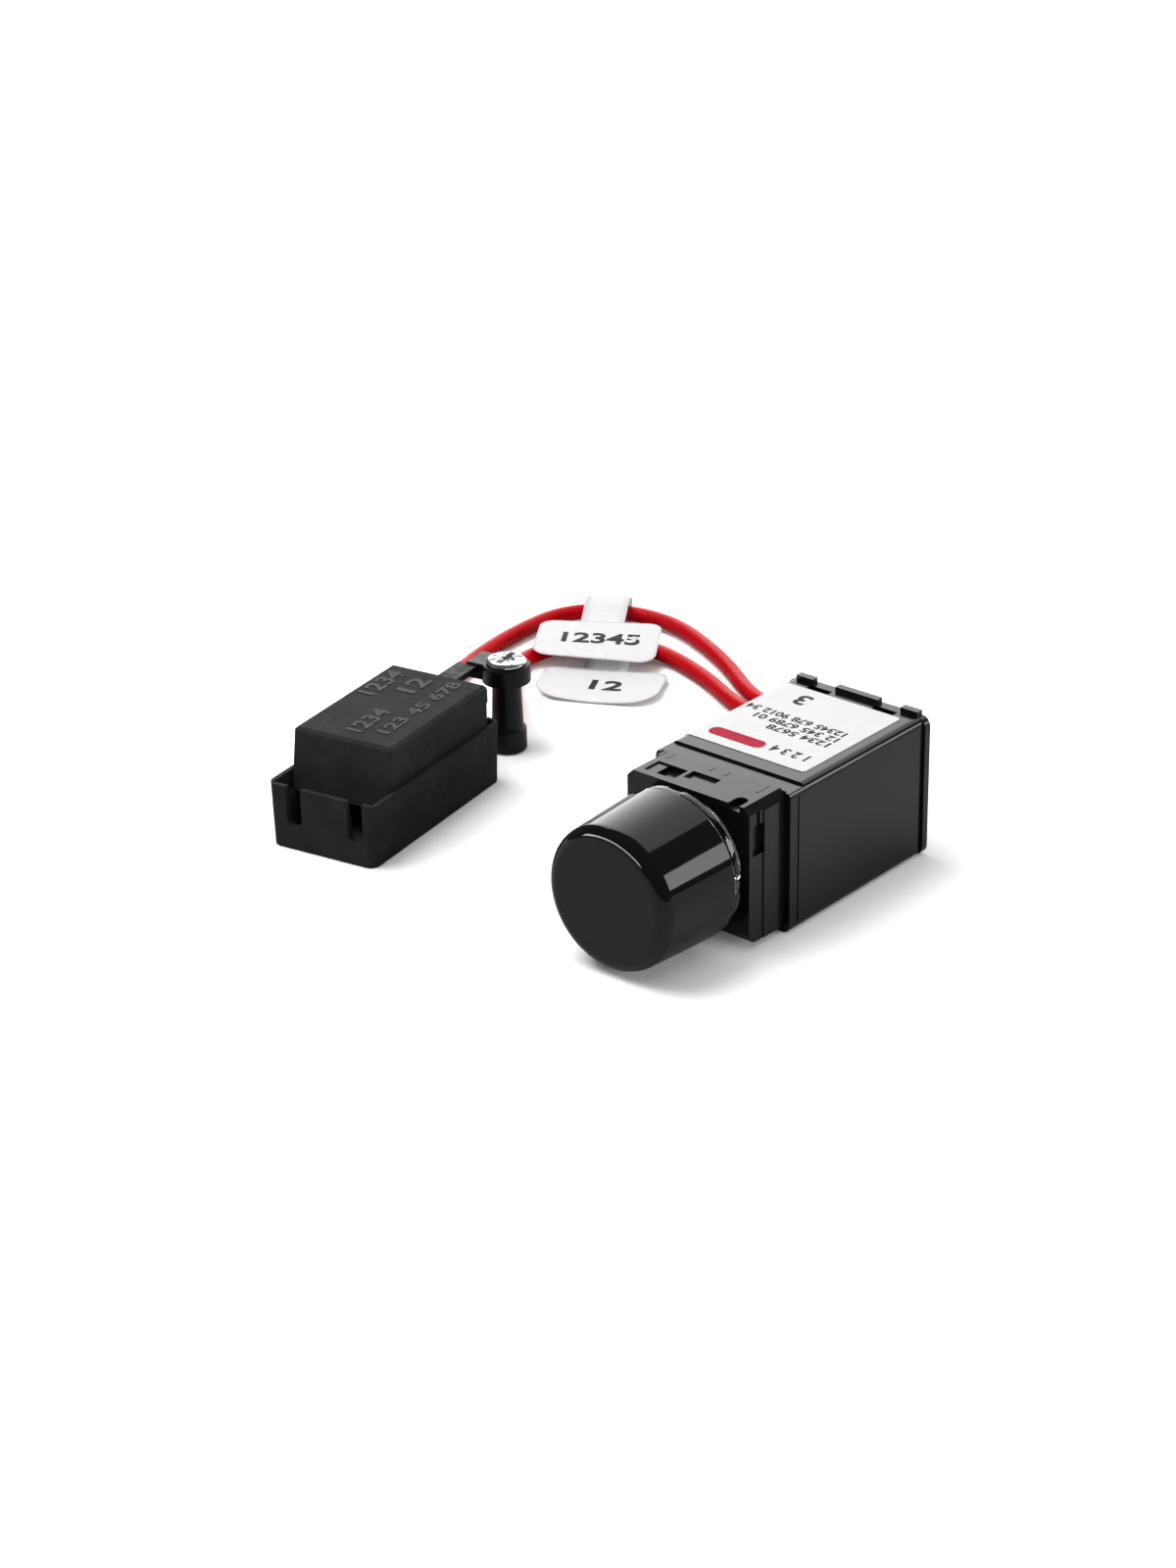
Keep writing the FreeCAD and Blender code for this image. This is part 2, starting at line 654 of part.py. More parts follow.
def front_adapter():
    half = "(adapter_width / 2)"
    low = f"({AXIS} - {ADAPTER_HALF_HEIGHT})"
    head = block("AdapterHead", (f"-{half}", half), (ADAPTER_FRONT, f"{SEAT} + seat_rebate"), (low, ADAPTER_TOP))
    middle = value("housing_height") / 2
    chamfered = round_edges("AdapterChamfered", head, value("adapter_chamfer"),
                            along(Vector(0, 1, 0), lambda p: p.z > middle), "Part::Chamfer")
    doc.recompute()
    front = chamfered.Shape.BoundBox.YMin
    lipped = round_edges("AdapterLipped", chamfered, value("adapter_lip_radius"),
                         along(Vector(1, 0, 0), lambda p: p.z < middle and p.y < front + 0.01))
    neck_half = f"({INNER_HALF_WIDTH} - neck_clearance)"
    neck = block("AdapterNeck", (f"-{neck_half}", neck_half), (f"{SEAT} - 0.5", f"{SEAT} + neck_length"),
                 ("shell_wall + neck_clearance", "housing_height - shell_wall - neck_clearance"))
    outside = join("AdapterOutside", lipped, neck)
    inner_half = f"({half} - adapter_side_wall)"
    cavity_z = ("adapter_floor_height", "housing_height - shell_wall - neck_clearance - neck_wall")
    front_cavity = block("AdapterFrontCavity", (f"-{inner_half}", inner_half),
                         (f"{ADAPTER_FRONT} + adapter_front_wall", BULKHEAD_FRONT), cavity_z)
    rear_cavity = block("AdapterRearCavity", (f"-{inner_half}", inner_half),
                        (BULKHEAD_REAR, f"{SEAT} + neck_length + 1"), cavity_z)
    opening_end = f"({ADAPTER_FRONT} + ring_barrel_overlap + push_travel + ring_barrel_gap)"
    opening = rod("AdapterOpening", OPENING, (f"{ADAPTER_FRONT} - 1", opening_end))
    bushing_hole = rod("BushingHole", "thread_radius + running_clearance",
                       (f"{BULKHEAD_FRONT} - 1", f"{BULKHEAD_REAR} + 1"))
    shell = cut("AdapterShell", outside, front_cavity, rear_cavity, opening, bushing_hole, *adapter_details())
    return finish(join("Adapter", shell, *adapter_additions()), "front_adapter")


def clear_ring():
    collar = f"({KNOB_REAR_RADIUS} - knob_wall - 2 * running_clearance)"
    flange_rear = f"({RING_FACE} + ring_flange_thickness)"
    ring = turned("Ring", [
        (RING_BORE, f"{RING_FACE} - ring_collar_length"),
        (f"{collar} - 0.3", f"{RING_FACE} - ring_collar_length"),
        (f"{collar} - 0.1", RING_FACE),
        (RING_FLANGE, RING_FACE),
        (RING_FLANGE, flange_rear),
        (BARREL, flange_rear),
        (BARREL, f"{ADAPTER_FRONT} + ring_barrel_overlap"),
        (RING_BORE, f"{ADAPTER_FRONT} + ring_barrel_overlap"),
    ])
    notch_y = (f"{flange_rear} - ring_flange_thickness / 2", f"{flange_rear} + 1")
    notch_x = ("-ring_notch_width / 2", "ring_notch_width / 2")
    top_notch = block("RingTopNotch", notch_x, notch_y,
                      (f"{AXIS} + {BARREL} + ring_notch_inset", f"{AXIS} + {RING_FLANGE} + 1"))
    side_notches = mirrored_blocks("RingSideNotch", f"{BARREL} + ring_notch_inset", f"{RING_FLANGE} + 1", notch_y,
                                   (f"{AXIS} - ring_notch_width / 2", f"{AXIS} + ring_notch_width / 2"))
    return finish(cut("RingNotched", ring, top_notch, *side_notches), "clear_ring")


def knob():
    inner_front = f"({KNOB_FRONT} + knob_face_wall)"
    boss_end = f"({inner_front} + knob_boss_length)"
    shell = turned("KnobShell", [
        ("0", KNOB_FRONT),
        (KNOB_FRONT_RADIUS, KNOB_FRONT),
        (KNOB_REAR_RADIUS, KNOB_REAR),
        (f"{KNOB_REAR_RADIUS} - knob_wall", KNOB_REAR),
        (f"{KNOB_FRONT_RADIUS} - knob_wall", inner_front),
        ("knob_boss_radius", inner_front),
        ("knob_boss_radius", boss_end),
        ("0", boss_end),
    ])
    doc.recompute()
    turning = shell.Tip
    front = turning.Shape.BoundBox.YMin
    body_rounding(shell, turning, "knob_edge_radius",
                  lambda e: e.Curve.TypeId == "Part::GeomCircle" and e.CenterOfMass.y < front + 0.01)
    bore = rod("KnobBore", "shaft_radius + running_clearance", (inner_front, f"{boss_end} + 1"))
    flat = block("KnobBoreFlat", ("-shaft_radius - 1", "shaft_radius + 1"),
                 (f"{inner_front} - 1", f"{boss_end} + 2"),
                 (f"{AXIS} + shaft_flat + clip_thickness + running_clearance", f"{AXIS} + shaft_radius + 2"))
    return finish(cut("KnobBored", shell, cut("KnobBoreShape", bore, flat)), "knob")


def knob_clip():
    inner_front = f"{KNOB_FRONT} + knob_face_wall"
    y = (f"{inner_front} + shaft_tip_gap", f"{inner_front} + knob_boss_length - 0.5")
    bottom = f"({AXIS} + shaft_flat + running_clearance / 2)"
    clip = block("Clip", ("-clip_width / 2", "clip_width / 2"), y, (bottom, f"{bottom} + clip_thickness"))
    return finish(clip, "knob_clip")


def shaft():
    tip = f"({KNOB_FRONT} + knob_face_wall + shaft_tip_gap)"
    boss_end = f"({KNOB_FRONT} + knob_face_wall + knob_boss_length)"
    bar = rod("ShaftBar", "shaft_radius", (tip, SHAFT_END))
    flat_z = (f"{AXIS} + shaft_flat", f"{AXIS} + shaft_radius + 1")
    sides = ("-shaft_radius - 1", "shaft_radius + 1")
    front_flat = block("ShaftFrontFlat", sides, (f"{tip} - 1", f"{boss_end} + 1"), flat_z)
    rear_flat = block("ShaftRearFlat", sides, (f"{CAN_FRONT} + 0.9", f"{SHAFT_END} + 1"), flat_z)
    return finish(cut("Shaft", bar, front_flat, rear_flat), "shaft")


def bushing():
    bore = "shaft_radius + running_clearance"
    front = f"({SEAT} - bushing_front)"
    return finish(turned("Bushing", [
        (bore, front), ("thread_radius", front), ("thread_radius", BULKHEAD_REAR),
        ("bushing_flange_radius", BULKHEAD_REAR), ("bushing_flange_radius", CAN_FRONT), (bore, CAN_FRONT),
    ]), "bushing")


def bushing_nut():
    prism = doc.addObject("Part::Prism", "NutPrism")
    prism.Polygon = 6
    prism.Placement = Placement(Vector(), Rotation(Vector(1, 0, 0), -90))
    bind(prism, "Circumradius", "nut_across_flats / sqrt(3)")
    bind(prism, "Height", "nut_thickness")
    rear = f"({BULKHEAD_FRONT} - washer_thickness)"
    place(prism, "0", f"{rear} - nut_thickness", AXIS)
    thread = rod("NutThread", "thread_radius + running_clearance", (f"{rear} - nut_thickness - 1", f"{rear} + 1"))
    return finish(cut("Nut", prism, thread), "bushing_nut")


def washer_ring(name, inner, outer, y):
    """A flat ring across the shaft's axis."""
    return turned(name, [(inner, y[0]), (outer, y[0]), (outer, y[1]), (inner, y[1])])


def lock_washer():
    ring = washer_ring("Washer", "thread_radius + running_clearance", "washer_radius",
                       (f"{BULKHEAD_FRONT} - washer_thickness", BULKHEAD_FRONT))
    return finish(ring, "lock_washer")


# Potentiometer

def strip_columns():
    """The three strips' places across the width."""
    return ("-strip_spacing", "0", "strip_spacing")


def pot_can():
    inside = f"{CAN_RADIUS} - can_wall"
    can = turned("CanShell", [
        ("shaft_radius + 4 * running_clearance", CAN_FRONT), (CAN_RADIUS, CAN_FRONT), (CAN_RADIUS, CAN_REAR),
        (inside, CAN_REAR), (inside, f"{CAN_FRONT} + can_wall"),
        ("shaft_radius + 4 * running_clearance", f"{CAN_FRONT} + can_wall"),
    ])
    slots = [block(f"CanSlot{i}", (f"{x} - strip_width / 2 - 0.2", f"{x} + strip_width / 2 + 0.2"),
                   (f"{CAN_FRONT} - 1", f"{CAN_FRONT} + can_wall + 0.7"),
                   (f"{AXIS} - {CAN_RADIUS} - 1", f"{AXIS} - {CAN_RADIUS} + 1.6"))
             for i, x in enumerate(strip_columns())]
    return finish(cut("Can", can, *slots), "pot_can")


def track_wafer():
    front = f"({CAN_FRONT} + can_wall)"
    ring = washer_ring("WaferRing", "shaft_radius + 0.4", f"{CAN_RADIUS} - can_wall - running_clearance",
                       (front, f"{front} + wafer_thickness"))
    return finish(ring, "track_wafer")


def carbon_track():
    ring = washer_ring("TrackRing", "track_inner_radius", "track_outer_radius",
                       (f"{TRACK_FACE} - track_thickness", TRACK_FACE))
    gap = block("TrackGap", ("-1.5", "1.5"), (f"{TRACK_FACE} - 1", f"{TRACK_FACE} + 1"),
                (f"{AXIS} - track_outer_radius - 1", AXIS))
    return finish(cut("Track", ring, gap), "carbon_track")


def keyed_bore(name, y):
    """A D-shaped hole for the shaft."""
    bore = rod(f"{name}Round", "shaft_radius + running_clearance", y)
    flat = block(f"{name}Flat", ("-shaft_radius - 1", "shaft_radius + 1"), (f"{y[0]} - 1", f"{y[1]} + 1"),
                 (f"{AXIS} + shaft_flat + running_clearance", f"{AXIS} + shaft_radius + 2"))
    return cut(name, bore, flat)


def pot_rotor():
    rear = f"({ROTOR_FRONT} + rotor_thickness)"
    disc = rod("RotorDisc", "rotor_radius", (ROTOR_FRONT, rear))
    return finish(cut("Rotor", disc, keyed_bore("RotorBore", (f"{ROTOR_FRONT} - 1", f"{rear} + 1"))), "pot_rotor")


def wiper():
    ring = washer_ring("WiperRing", "shaft_radius + 0.4", "track_inner_radius", (WIPER_FRONT, ROTOR_FRONT))
    arm = block("WiperArm", ("-0.6", "0.6"), (WIPER_FRONT, ROTOR_FRONT),
                (f"{AXIS} + track_inner_radius - 0.3", f"{AXIS} + track_outer_radius - 0.1"))
    tip = block("WiperTip", ("-0.6", "0.6"), (f"{TRACK_FACE} + running_clearance", WIPER_FRONT),
                (f"{AXIS} + track_outer_radius - 0.7", f"{AXIS} + track_outer_radius - 0.1"))
    return finish(join("Wiper", ring, arm, tip), "wiper")


def pot_terminals():
    """Three strips that run from the wafer's edge, out of the can and back under the board."""
    leg_y = (f"{CAN_FRONT} + can_wall + 0.1", f"{CAN_FRONT} + can_wall + 0.1 + strip_thickness")
    low = f"({BOARD_BOTTOM} - strip_thickness)"
    strips = []
    for i, x in enumerate(strip_columns()):
        width = (f"{x} - strip_width / 2", f"{x} + strip_width / 2")
        leg = block(f"StripLeg{i}", width, leg_y, (low, f"{AXIS} - {CAN_RADIUS} + can_wall + 0.02"))
        foot = block(f"StripFoot{i}", width, (leg_y[0], f"{BOARD_FRONT} + 2"), (low, BOARD_BOTTOM))
        strips.append(join(f"Strip{i}", leg, foot))
    return finish(group("Strips", *strips), "pot_terminals")


# Push switch

def switch_body():
    base = rod("SwitchBase", CAN_RADIUS, (CAN_REAR, SWITCH_FRONT))
    case = block("SwitchCase", ("-switch_width / 2", "switch_width / 2"), (CAN_REAR, SWITCH_REAR),
                 (f"{AXIS} - {SWITCH_HALF_HEIGHT}", f"{AXIS} + {SWITCH_HALF_HEIGHT}"))
    bore = rod("SwitchBore", "switch_bore_radius", (f"{CAN_REAR} - 1", BORE_END))
    return finish(cut("SwitchBody", join("SwitchOutside", base, case), bore), "switch_body")


def switch_plunger():
    return finish(turned("Plunger", [
        ("0", PLUNGER_FRONT), ("plunger_radius", PLUNGER_FRONT), ("plunger_radius", SPRING_FRONT),
        ("plunger_pin_radius", SPRING_FRONT), ("plunger_pin_radius", f"{SPRING_FRONT} + plunger_pin"),
        ("0", f"{SPRING_FRONT} + plunger_pin"),
    ]), "switch_plunger")


def switch_spring():
    doc.recompute()
    front = doc.getObject("Plunger").Shape.BoundBox.YMin + value("plunger_head")
    rear = doc.getObject("SwitchBody").Shape.BoundBox.YMax - value("switch_end_wall")
    wire = value("spring_wire")
    travel = rear - front - wire - 0.06
    radius = value("spring_radius")
    axis_height = value("housing_height") / 2 + value("axis_rise")
    corners = round(value("spring_turns") * value("spring_corners"))
    helix = []
    for i in range(corners + 1):
        turn = math.tau * i / value("spring_corners")
        helix.append((radius * math.cos(turn), front + wire / 2 + 0.03 + travel * i / corners,
                      axis_height + radius * math.sin(turn)))
    return finish(solid("Spring", tube_along(helix, wire / 2)), "switch_spring")


def switch_pins():
    pins = mirrored_blocks("SwitchPin", "switch_pin_side - switch_pin_width / 2",
                           "switch_pin_side + switch_pin_width / 2",
                           (f"{SWITCH_REAR} - 2.0", f"{SWITCH_REAR} - 1.5"),
                           (BOARD_TOP, f"{AXIS} - {SWITCH_HALF_HEIGHT}"))
    return finish(group("SwitchPins", *pins), "switch_pins")


# Circuit board and its components

def circuit_board():
    half = BOARD_HALF_WIDTH
    board = block("Board", (f"-{half}", half), (BOARD_FRONT, BOARD_REAR), (BOARD_BOTTOM, BOARD_TOP))
    return finish(board, "circuit_board")


def power_transistors():
    transistors = []
    for i in range(2):
        front = f"({POWER_FRONT} + {i} * transistor_spacing)"
        across = (f"{SPREADER_LEFT} - transistor_depth", SPREADER_LEFT)
        bottom = f"({BOARD_TOP} + transistor_lift)"
        package = block(f"Package{i}", across, (front, f"{front} + transistor_width"),
                        (bottom, f"{bottom} + transistor_height"))
        middle = f"({SPREADER_LEFT} - transistor_depth / 2)"
        legs = [block(f"Leg{i}{j}", (f"{middle} - 0.3", f"{middle} + 0.3"),
                      (f"{front} + transistor_width / 2 + {j - 1} * transistor_pitch - 0.4",
                       f"{front} + transistor_width / 2 + {j - 1} * transistor_pitch + 0.4"),
                      (BOARD_TOP, bottom)) for j in range(3)]
        transistors.append(join(f"Transistor{i}", package, *legs))
    return finish(group("Transistors", *transistors), "power_transistors")


def heat_spreader():
    plate = block("Spreader", (SPREADER_LEFT, BOARD_HALF_WIDTH), (POWER_FRONT, f"{POWER_FRONT} + spreader_length"),
                  (BOARD_TOP, SPREADER_TOP))
    return finish(plate, "heat_spreader")


CHOKE_X = "-choke_side"
CHOKE_Y = f"({SWITCH_REAR} + choke_flange_radius + choke_gap)"


def choke_core():
    low = f"({BOARD_TOP} + choke_flange)"
    high = f"({BOARD_TOP} + choke_height - choke_flange)"
    top = f"({BOARD_TOP} + choke_height)"
    drum = turned_upright("Choke", [
        ("0", BOARD_TOP), ("choke_flange_radius", BOARD_TOP), ("choke_flange_radius", low),
        ("choke_waist_radius", low), ("choke_waist_radius", high), ("choke_flange_radius", high),
        ("choke_flange_radius", top), ("0", top),
    ], CHOKE_X, CHOKE_Y)
    return finish(drum, "choke_core")


def choke_winding():
    low = f"({BOARD_TOP} + choke_flange + 0.05)"
    high = f"({BOARD_TOP} + choke_height - choke_flange - 0.05)"
    winding = turned_upright("Winding", [
        ("choke_waist_radius + running_clearance", low), ("winding_radius", low),
        ("winding_radius", high), ("choke_waist_radius + running_clearance", high),
    ], CHOKE_X, CHOKE_Y)
    return finish(winding, "choke_winding")


def film_capacitor():
    case = block("FilmCase", ("film_cap_left", "film_cap_left + film_cap_width"),
                 (POWER_FRONT, f"{POWER_FRONT} + film_cap_length"), (BOARD_TOP, f"{BOARD_TOP} + film_cap_height"))
    return finish(round_edges("FilmCap", case, value("film_cap_radius"), along(Vector(0, 0, 1))), "film_capacitor")


def electrolytic_capacitor():
    y = f"{POWER_FRONT} + film_cap_length + electrolytic_radius + component_gap"
    top = f"({BOARD_TOP} + electrolytic_height)"
    can = turned_upright("Electrolytic", [
        ("0", BOARD_TOP), ("electrolytic_radius - 0.3", BOARD_TOP), ("electrolytic_radius", f"{BOARD_TOP} + 0.6"),
        ("electrolytic_radius", f"{top} - 0.4"), ("electrolytic_radius - 0.4", top), ("0", top),
    ], "film_cap_left + electrolytic_radius", y)
    return finish(can, "electrolytic_capacitor")


def fuse():
    left = f"(-{BOARD_HALF_WIDTH} + 0.3)"
    front = f"({BOARD_FRONT} + 0.3)"
    case = block("FuseCase", (left, f"{left} + fuse_width"), (front, f"{front} + fuse_length"),
                 (BOARD_TOP, f"{BOARD_TOP} + fuse_height"))
    return finish(case, "fuse")


def control_chip():
    y = f"({CHOKE_Y})"
    low = f"({BOARD_BOTTOM} - chip_thickness)"
    body = block("ChipBody", ("-chip_width / 2", "chip_width / 2"), (y, f"{y} + chip_length"), (low, BOARD_BOTTOM))
    legs = []
    for i in range(4):
        leg_y = (f"{y} + {i} * chip_length / 4 + 0.4", f"{y} + {i} * chip_length / 4 + 0.85")
        legs += mirrored_blocks(f"ChipLeg{i}", "chip_width / 2 - 0.1", "chip_width / 2 + 0.9", leg_y,
                                (f"{BOARD_BOTTOM} - 0.25", BOARD_BOTTOM))
    return finish(join("Chip", body, *legs), "control_chip")


def resistors():
    chips = []
    for i in range(6):
        y = f"({BOARD_FRONT} + resistor_front + {i // 2} * (resistor_width + resistor_gap))"
        sign = -1 if i % 2 else 1
        centre = f"({sign} * (resistor_length / 2 + resistor_side))"
        chips.append(block(f"Resistor{i}", (f"{centre} - resistor_length / 2", f"{centre} + resistor_length / 2"),
                           (y, f"{y} + resistor_width"), (f"{BOARD_BOTTOM} - resistor_thickness", BOARD_BOTTOM)))
    return finish(group("Resistors", *chips), "resistors")


# Leads, grommets and tags

def tube_along(points, radius, label=None):
    """A tube of straight runs joined by tangent arcs, each as large as its two runs allow."""
    points = [Vector(*point) for point in points]
    edges = []
    radii = []
    start = points[0]
    for before, corner, after in zip(points, points[1:], points[2:]):
        into = corner - before
        out = after - corner
        tangent_length = 0.45 * min(into.Length, out.Length)
        turn = into.getAngle(out)
        radii.append(tangent_length / math.tan(turn / 2))
        into.normalize()
        out.normalize()
        arc_start = corner - into * tangent_length
        arc_end = corner + out * tangent_length
        to_centre = (out - into).normalize() * (radii[-1] / math.cos(turn / 2))
        middle = corner + to_centre - (out - into).normalize() * radii[-1]
        edges.append(Part.makeLine(start, arc_start))
        edges.append(Part.Arc(arc_start, middle, arc_end).toShape())
        start = arc_end
    edges.append(Part.makeLine(start, points[-1]))
    path = Part.Wire(edges)
    section = Part.Wire(Part.makeCircle(radius, points[0], points[1] - points[0]))
    tube = path.makePipeShell([section], True, False)
    if label:
        expected = math.pi * radius ** 2 * path.Length
        print(f"{label}: length {path.Length:.1f} mm, least radius {min(radii):.1f} mm,"
              f" volume {tube.Volume:.1f} against {expected:.1f} mm3, radii", [round(r, 1) for r in radii])
    return tube


def lead(route, label):
    return finish(solid(f"Tube{label}", tube_along(route, value("lead_diameter") / 2, label)), label)


def lead_sides():
    return ("-active_lead_side", "-load_lead_side")


def lead_grommets():
    spout_end = f"({REAR} + grommet_spout)"
    bore = "lead_diameter / 2 + running_clearance"
    flange = f"({LID} - grommet_inner_flange)"
    bushes = [turned(f"Grommet{i}", [
        (bore, flange), ("grommet_flange_radius", flange), ("grommet_flange_radius", LID),
        ("grommet_neck_radius", LID), ("grommet_neck_radius", REAR), ("grommet_spout_radius", REAR),
        ("grommet_spout_radius - 0.2", spout_end), (bore, spout_end),
    ], side, "lead_height") for i, side in enumerate(lead_sides())]
    return finish(group("Grommets", *bushes), "lead_grommets")


def lead_tails():
    doc.recompute()
    lid_rear = doc.getObject("LidPlate").Shape.BoundBox.YMax
    board_top = doc.getObject("Board").Shape.BoundBox.ZMax
    spout_end = lid_rear + value("grommet_spout")
    bend = lid_rear - value("lid_plate") - value("lid_skirt_length") - value("lead_diameter") - 0.6
    height = value("lead_height")
    tails = [tube_along([(-value(side), spout_end, height), (-value(side), bend, height),
                         (-value(side), bend, board_top)], value("lead_diameter") / 2)
             for side in ("active_lead_side", "load_lead_side")]
    return finish(solid("Tails", Part.makeCompound(tails)), "lead_tails")


def ribbon(profile, half_width):
    """A flat closed profile of (distance, height) points, extruded across the tag."""
    points = [Vector(-half_width, -distance, height) for distance, height in profile]
    face = Part.Face(Part.makePolygon(points + [points[0]]))
    return face.extrude(Vector(2 * half_width, 0, 0))


def tag(lead_place, label):
    """A white flag: a neck folded round the lead, and a body that lies in front of it."""
    thick = value("tag_thickness")
    reach = value("lead_diameter") / 2 + value("tag_loop_gap")
    top = value("lead_diameter") + value("tag_loop_top_gap")
    floor = value("tag_floor_gap")
    neck = lead_place["neck"]
    rear_height = lead_place["rear_height"]
    front_height = lead_place["front_height"]
    half_neck = value("tag_neck_width") / 2
    outer = [(-reach - thick, floor), (-reach - thick, top + thick), (reach, top + thick),
             (neck + thick, rear_height + thick), (neck + thick, rear_height), (neck, rear_height), (reach, floor)]
    tip = neck - 4 * thick
    share = (tip - reach) / (neck - reach)
    hollow = [(-reach, floor + thick), (-reach, top), (reach, top), (tip, top + (rear_height - top) * share),
              (tip, floor + thick + (rear_height - floor) * share), (reach, floor + thick)]
    loop = ribbon(outer, half_neck).cut(ribbon(hollow, half_neck + 1))
    depth = value("tag_depth")
    half_body = value("tag_width") / 2
    plate = ribbon([(neck, rear_height), (neck, rear_height + thick), (neck + depth, front_height + thick),
                    (neck + depth, front_height)], half_body)
    tall = value("tag_plan_height")
    plan = Part.makeBox(2 * half_body, depth, tall, Vector(-half_body, -neck - depth, -tall / 4))
    upright = [edge for edge in plan.Edges if along(Vector(0, 0, 1))(edge)]
    plan = plan.makeFillet(value("tag_corner_radius"), upright)
    flag = solid(f"Flag{label}", loop.fuse(plate.common(plan)).removeSplitter())
    across, depthwise = lead_place["at"]
    flag.Placement = Placement(Vector(across, depthwise, 0), Rotation(Vector(0, 0, 1), value("tag_angle")))
    return finish(flag, label)


# Terminal shroud, made about its own middle and then stood beside the module

def stand(thing, label):
    """Place a shroud piece with the shroud's position and yaw."""
    thing.Placement = Placement(Vector(), Rotation(Vector(0, 0, 1), 1))
    bind(thing, "Placement.Rotation.Angle", "shroud_yaw")
    return finish(place(thing, "shroud_across", "shroud_along"), label)


def shroud_tray():
    half = "(tray_width / 2)"
    far = "(tray_length / 2)"
    corners = [(f"-{half} - {grow}", f"{half} + {grow}") for grow in ("0", "tray_flare")]
    side_profile = [(corners[0][0], "0"), (corners[0][1], "0"), (corners[1][1], "tray_height"),
                    (corners[1][0], "tray_height")]
    shell = extruded("TrayOutside", "XZ_Plane", side_profile, "tray_length")
    place(shell, y=far)
    uprights = along(Vector(0, 0, 1))
    rounded = round_edges("TrayRounded", shell, value("tray_corner_radius"),
                          lambda e: uprights(e) or (e.Curve.TypeId == "Part::GeomLine"
                                                    and abs(e.Curve.Direction.z) > 0.9))
    rim_half = f"({half} + tray_flare - tray_rim_wall)"
    upper = block("TrayUpper", (f"-{rim_half}", rim_half), (f"-{far} + tray_rim_wall", f"{far} - tray_rim_wall"),
                  (LEDGE, "tray_height + 1"))
    floor_half = f"({half} - tray_wall)"
    lower = block("TrayLower", (f"-{floor_half}", floor_half), (f"-{far} + tray_wall", f"{far} - tray_wall"),
                  ("tray_floor", f"{LEDGE} + 1"))
    front = (f"-{far} - 1", f"-{far} + tray_wall + 0.5")
    rear = (f"{far} - tray_wall - 0.5", f"{far} + 1")
    slots = []
    for name, side, y in (("FrontLeft", "front_slot_centre - front_slot_spacing / 2", front),
                          ("FrontRight", "front_slot_centre + front_slot_spacing / 2", front),
                          ("RearLeft", "-pole_side", rear), ("RearRight", "pole_side", rear)):
        bottom = "slot_bottom" if y is front else "lead_entry_height - lead_diameter / 2 - 0.1"
        half_slot = "slot_width / 2" if y is front else "lead_diameter / 2 + 0.1"
        slots.append(block(f"Slot{name}", (f"{side} - ({half_slot})", f"{side} + {half_slot}"), y,
                           (f"{bottom} + {half_slot}", "tray_height + 1")))
        slots.append(rod(f"SlotRound{name}", half_slot, y, side, f"{bottom} + {half_slot}"))
    return stand(cut("Tray", rounded, upper, lower, *slots), "shroud_tray")


def shroud_cover():
    half = "(cover_width / 2)"
    lean = f"((cover_top - {LEDGE}) * tan(cover_front_draft * 1 deg))"
    side = [(COVER_FRONT, "cover_top"), (COVER_REAR, "cover_top"), (COVER_REAR, LEDGE),
            (f"{COVER_FRONT} - {lean}", LEDGE)]
    shell = extruded("CoverOutside", "YZ_Plane", side, "cover_width")
    place(shell, x=f"-{half}")
    top = value("cover_top")
    chamfered = round_edges("CoverChamfered", shell, value("cover_edge_chamfer"),
                            lambda e: e.CenterOfMass.z > top - 0.01, "Part::Chamfer")
    doc.recompute()
    softened = round_edges("CoverSoftened", chamfered, value("cover_edge_chamfer"),
                           lambda e: e.Curve.TypeId == "Part::GeomLine" and abs(e.Curve.Direction.z) > 0.9)
    wall = "cover_wall"
    inner_top = f"cover_top - {wall}"
    hollow_side = [(f"{COVER_FRONT} + {wall}", inner_top), (f"{COVER_REAR} - {wall}", inner_top),
                   (f"{COVER_REAR} - {wall}", f"{LEDGE} - 1"),
                   (f"{COVER_FRONT} - {lean} + {wall}", f"{LEDGE} - 1")]
    hollow = extruded("CoverHollow", "YZ_Plane", hollow_side, f"cover_width - 2 * {wall}")
    place(hollow, x=f"-{half} + {wall}")
    ear = block("CoverEar", (f"{half} - 2.0", f"{half} - 0.6"), (f"{COVER_REAR} - 0.2", f"{COVER_REAR} + 0.9"),
                ("cover_top - 3.4", "cover_top - 1.2"))
    return stand(join("Cover", cut("CoverShell", softened, hollow), ear), "shroud_cover")


def pole_sides():
    return ("-pole_side", "pole_side")


def screw_stations():
    """The terminal screws' places along the poles."""
    middle = "(pole_rear - pole_length / 2)"
    return (f"{middle} - terminal_screw_spacing / 2", f"{middle} + terminal_screw_spacing / 2")


def terminal_strip():
    poles = []
    for i, side in enumerate(pole_sides()):
        tube = block(f"Pole{i}", (f"{side} - pole_width / 2", f"{side} + pole_width / 2"),
                     ("pole_rear - pole_length", "pole_rear"), ("tray_floor", POLE_TOP))
        bore = rod(f"PoleBore{i}", "pole_bore_radius", ("pole_rear - pole_length - 1", "pole_rear + 1"), side,
                   "lead_entry_height")
        holes = [post(f"ScrewHole{i}{j}", "terminal_screw_radius + running_clearance",
                      ("lead_entry_height", f"{POLE_TOP} + 1"), side, y) for j, y in enumerate(screw_stations())]
        poles.append(cut(f"PoleBored{i}", tube, bore, *holes))
    return stand(group("Poles", *poles), "terminal_strip")


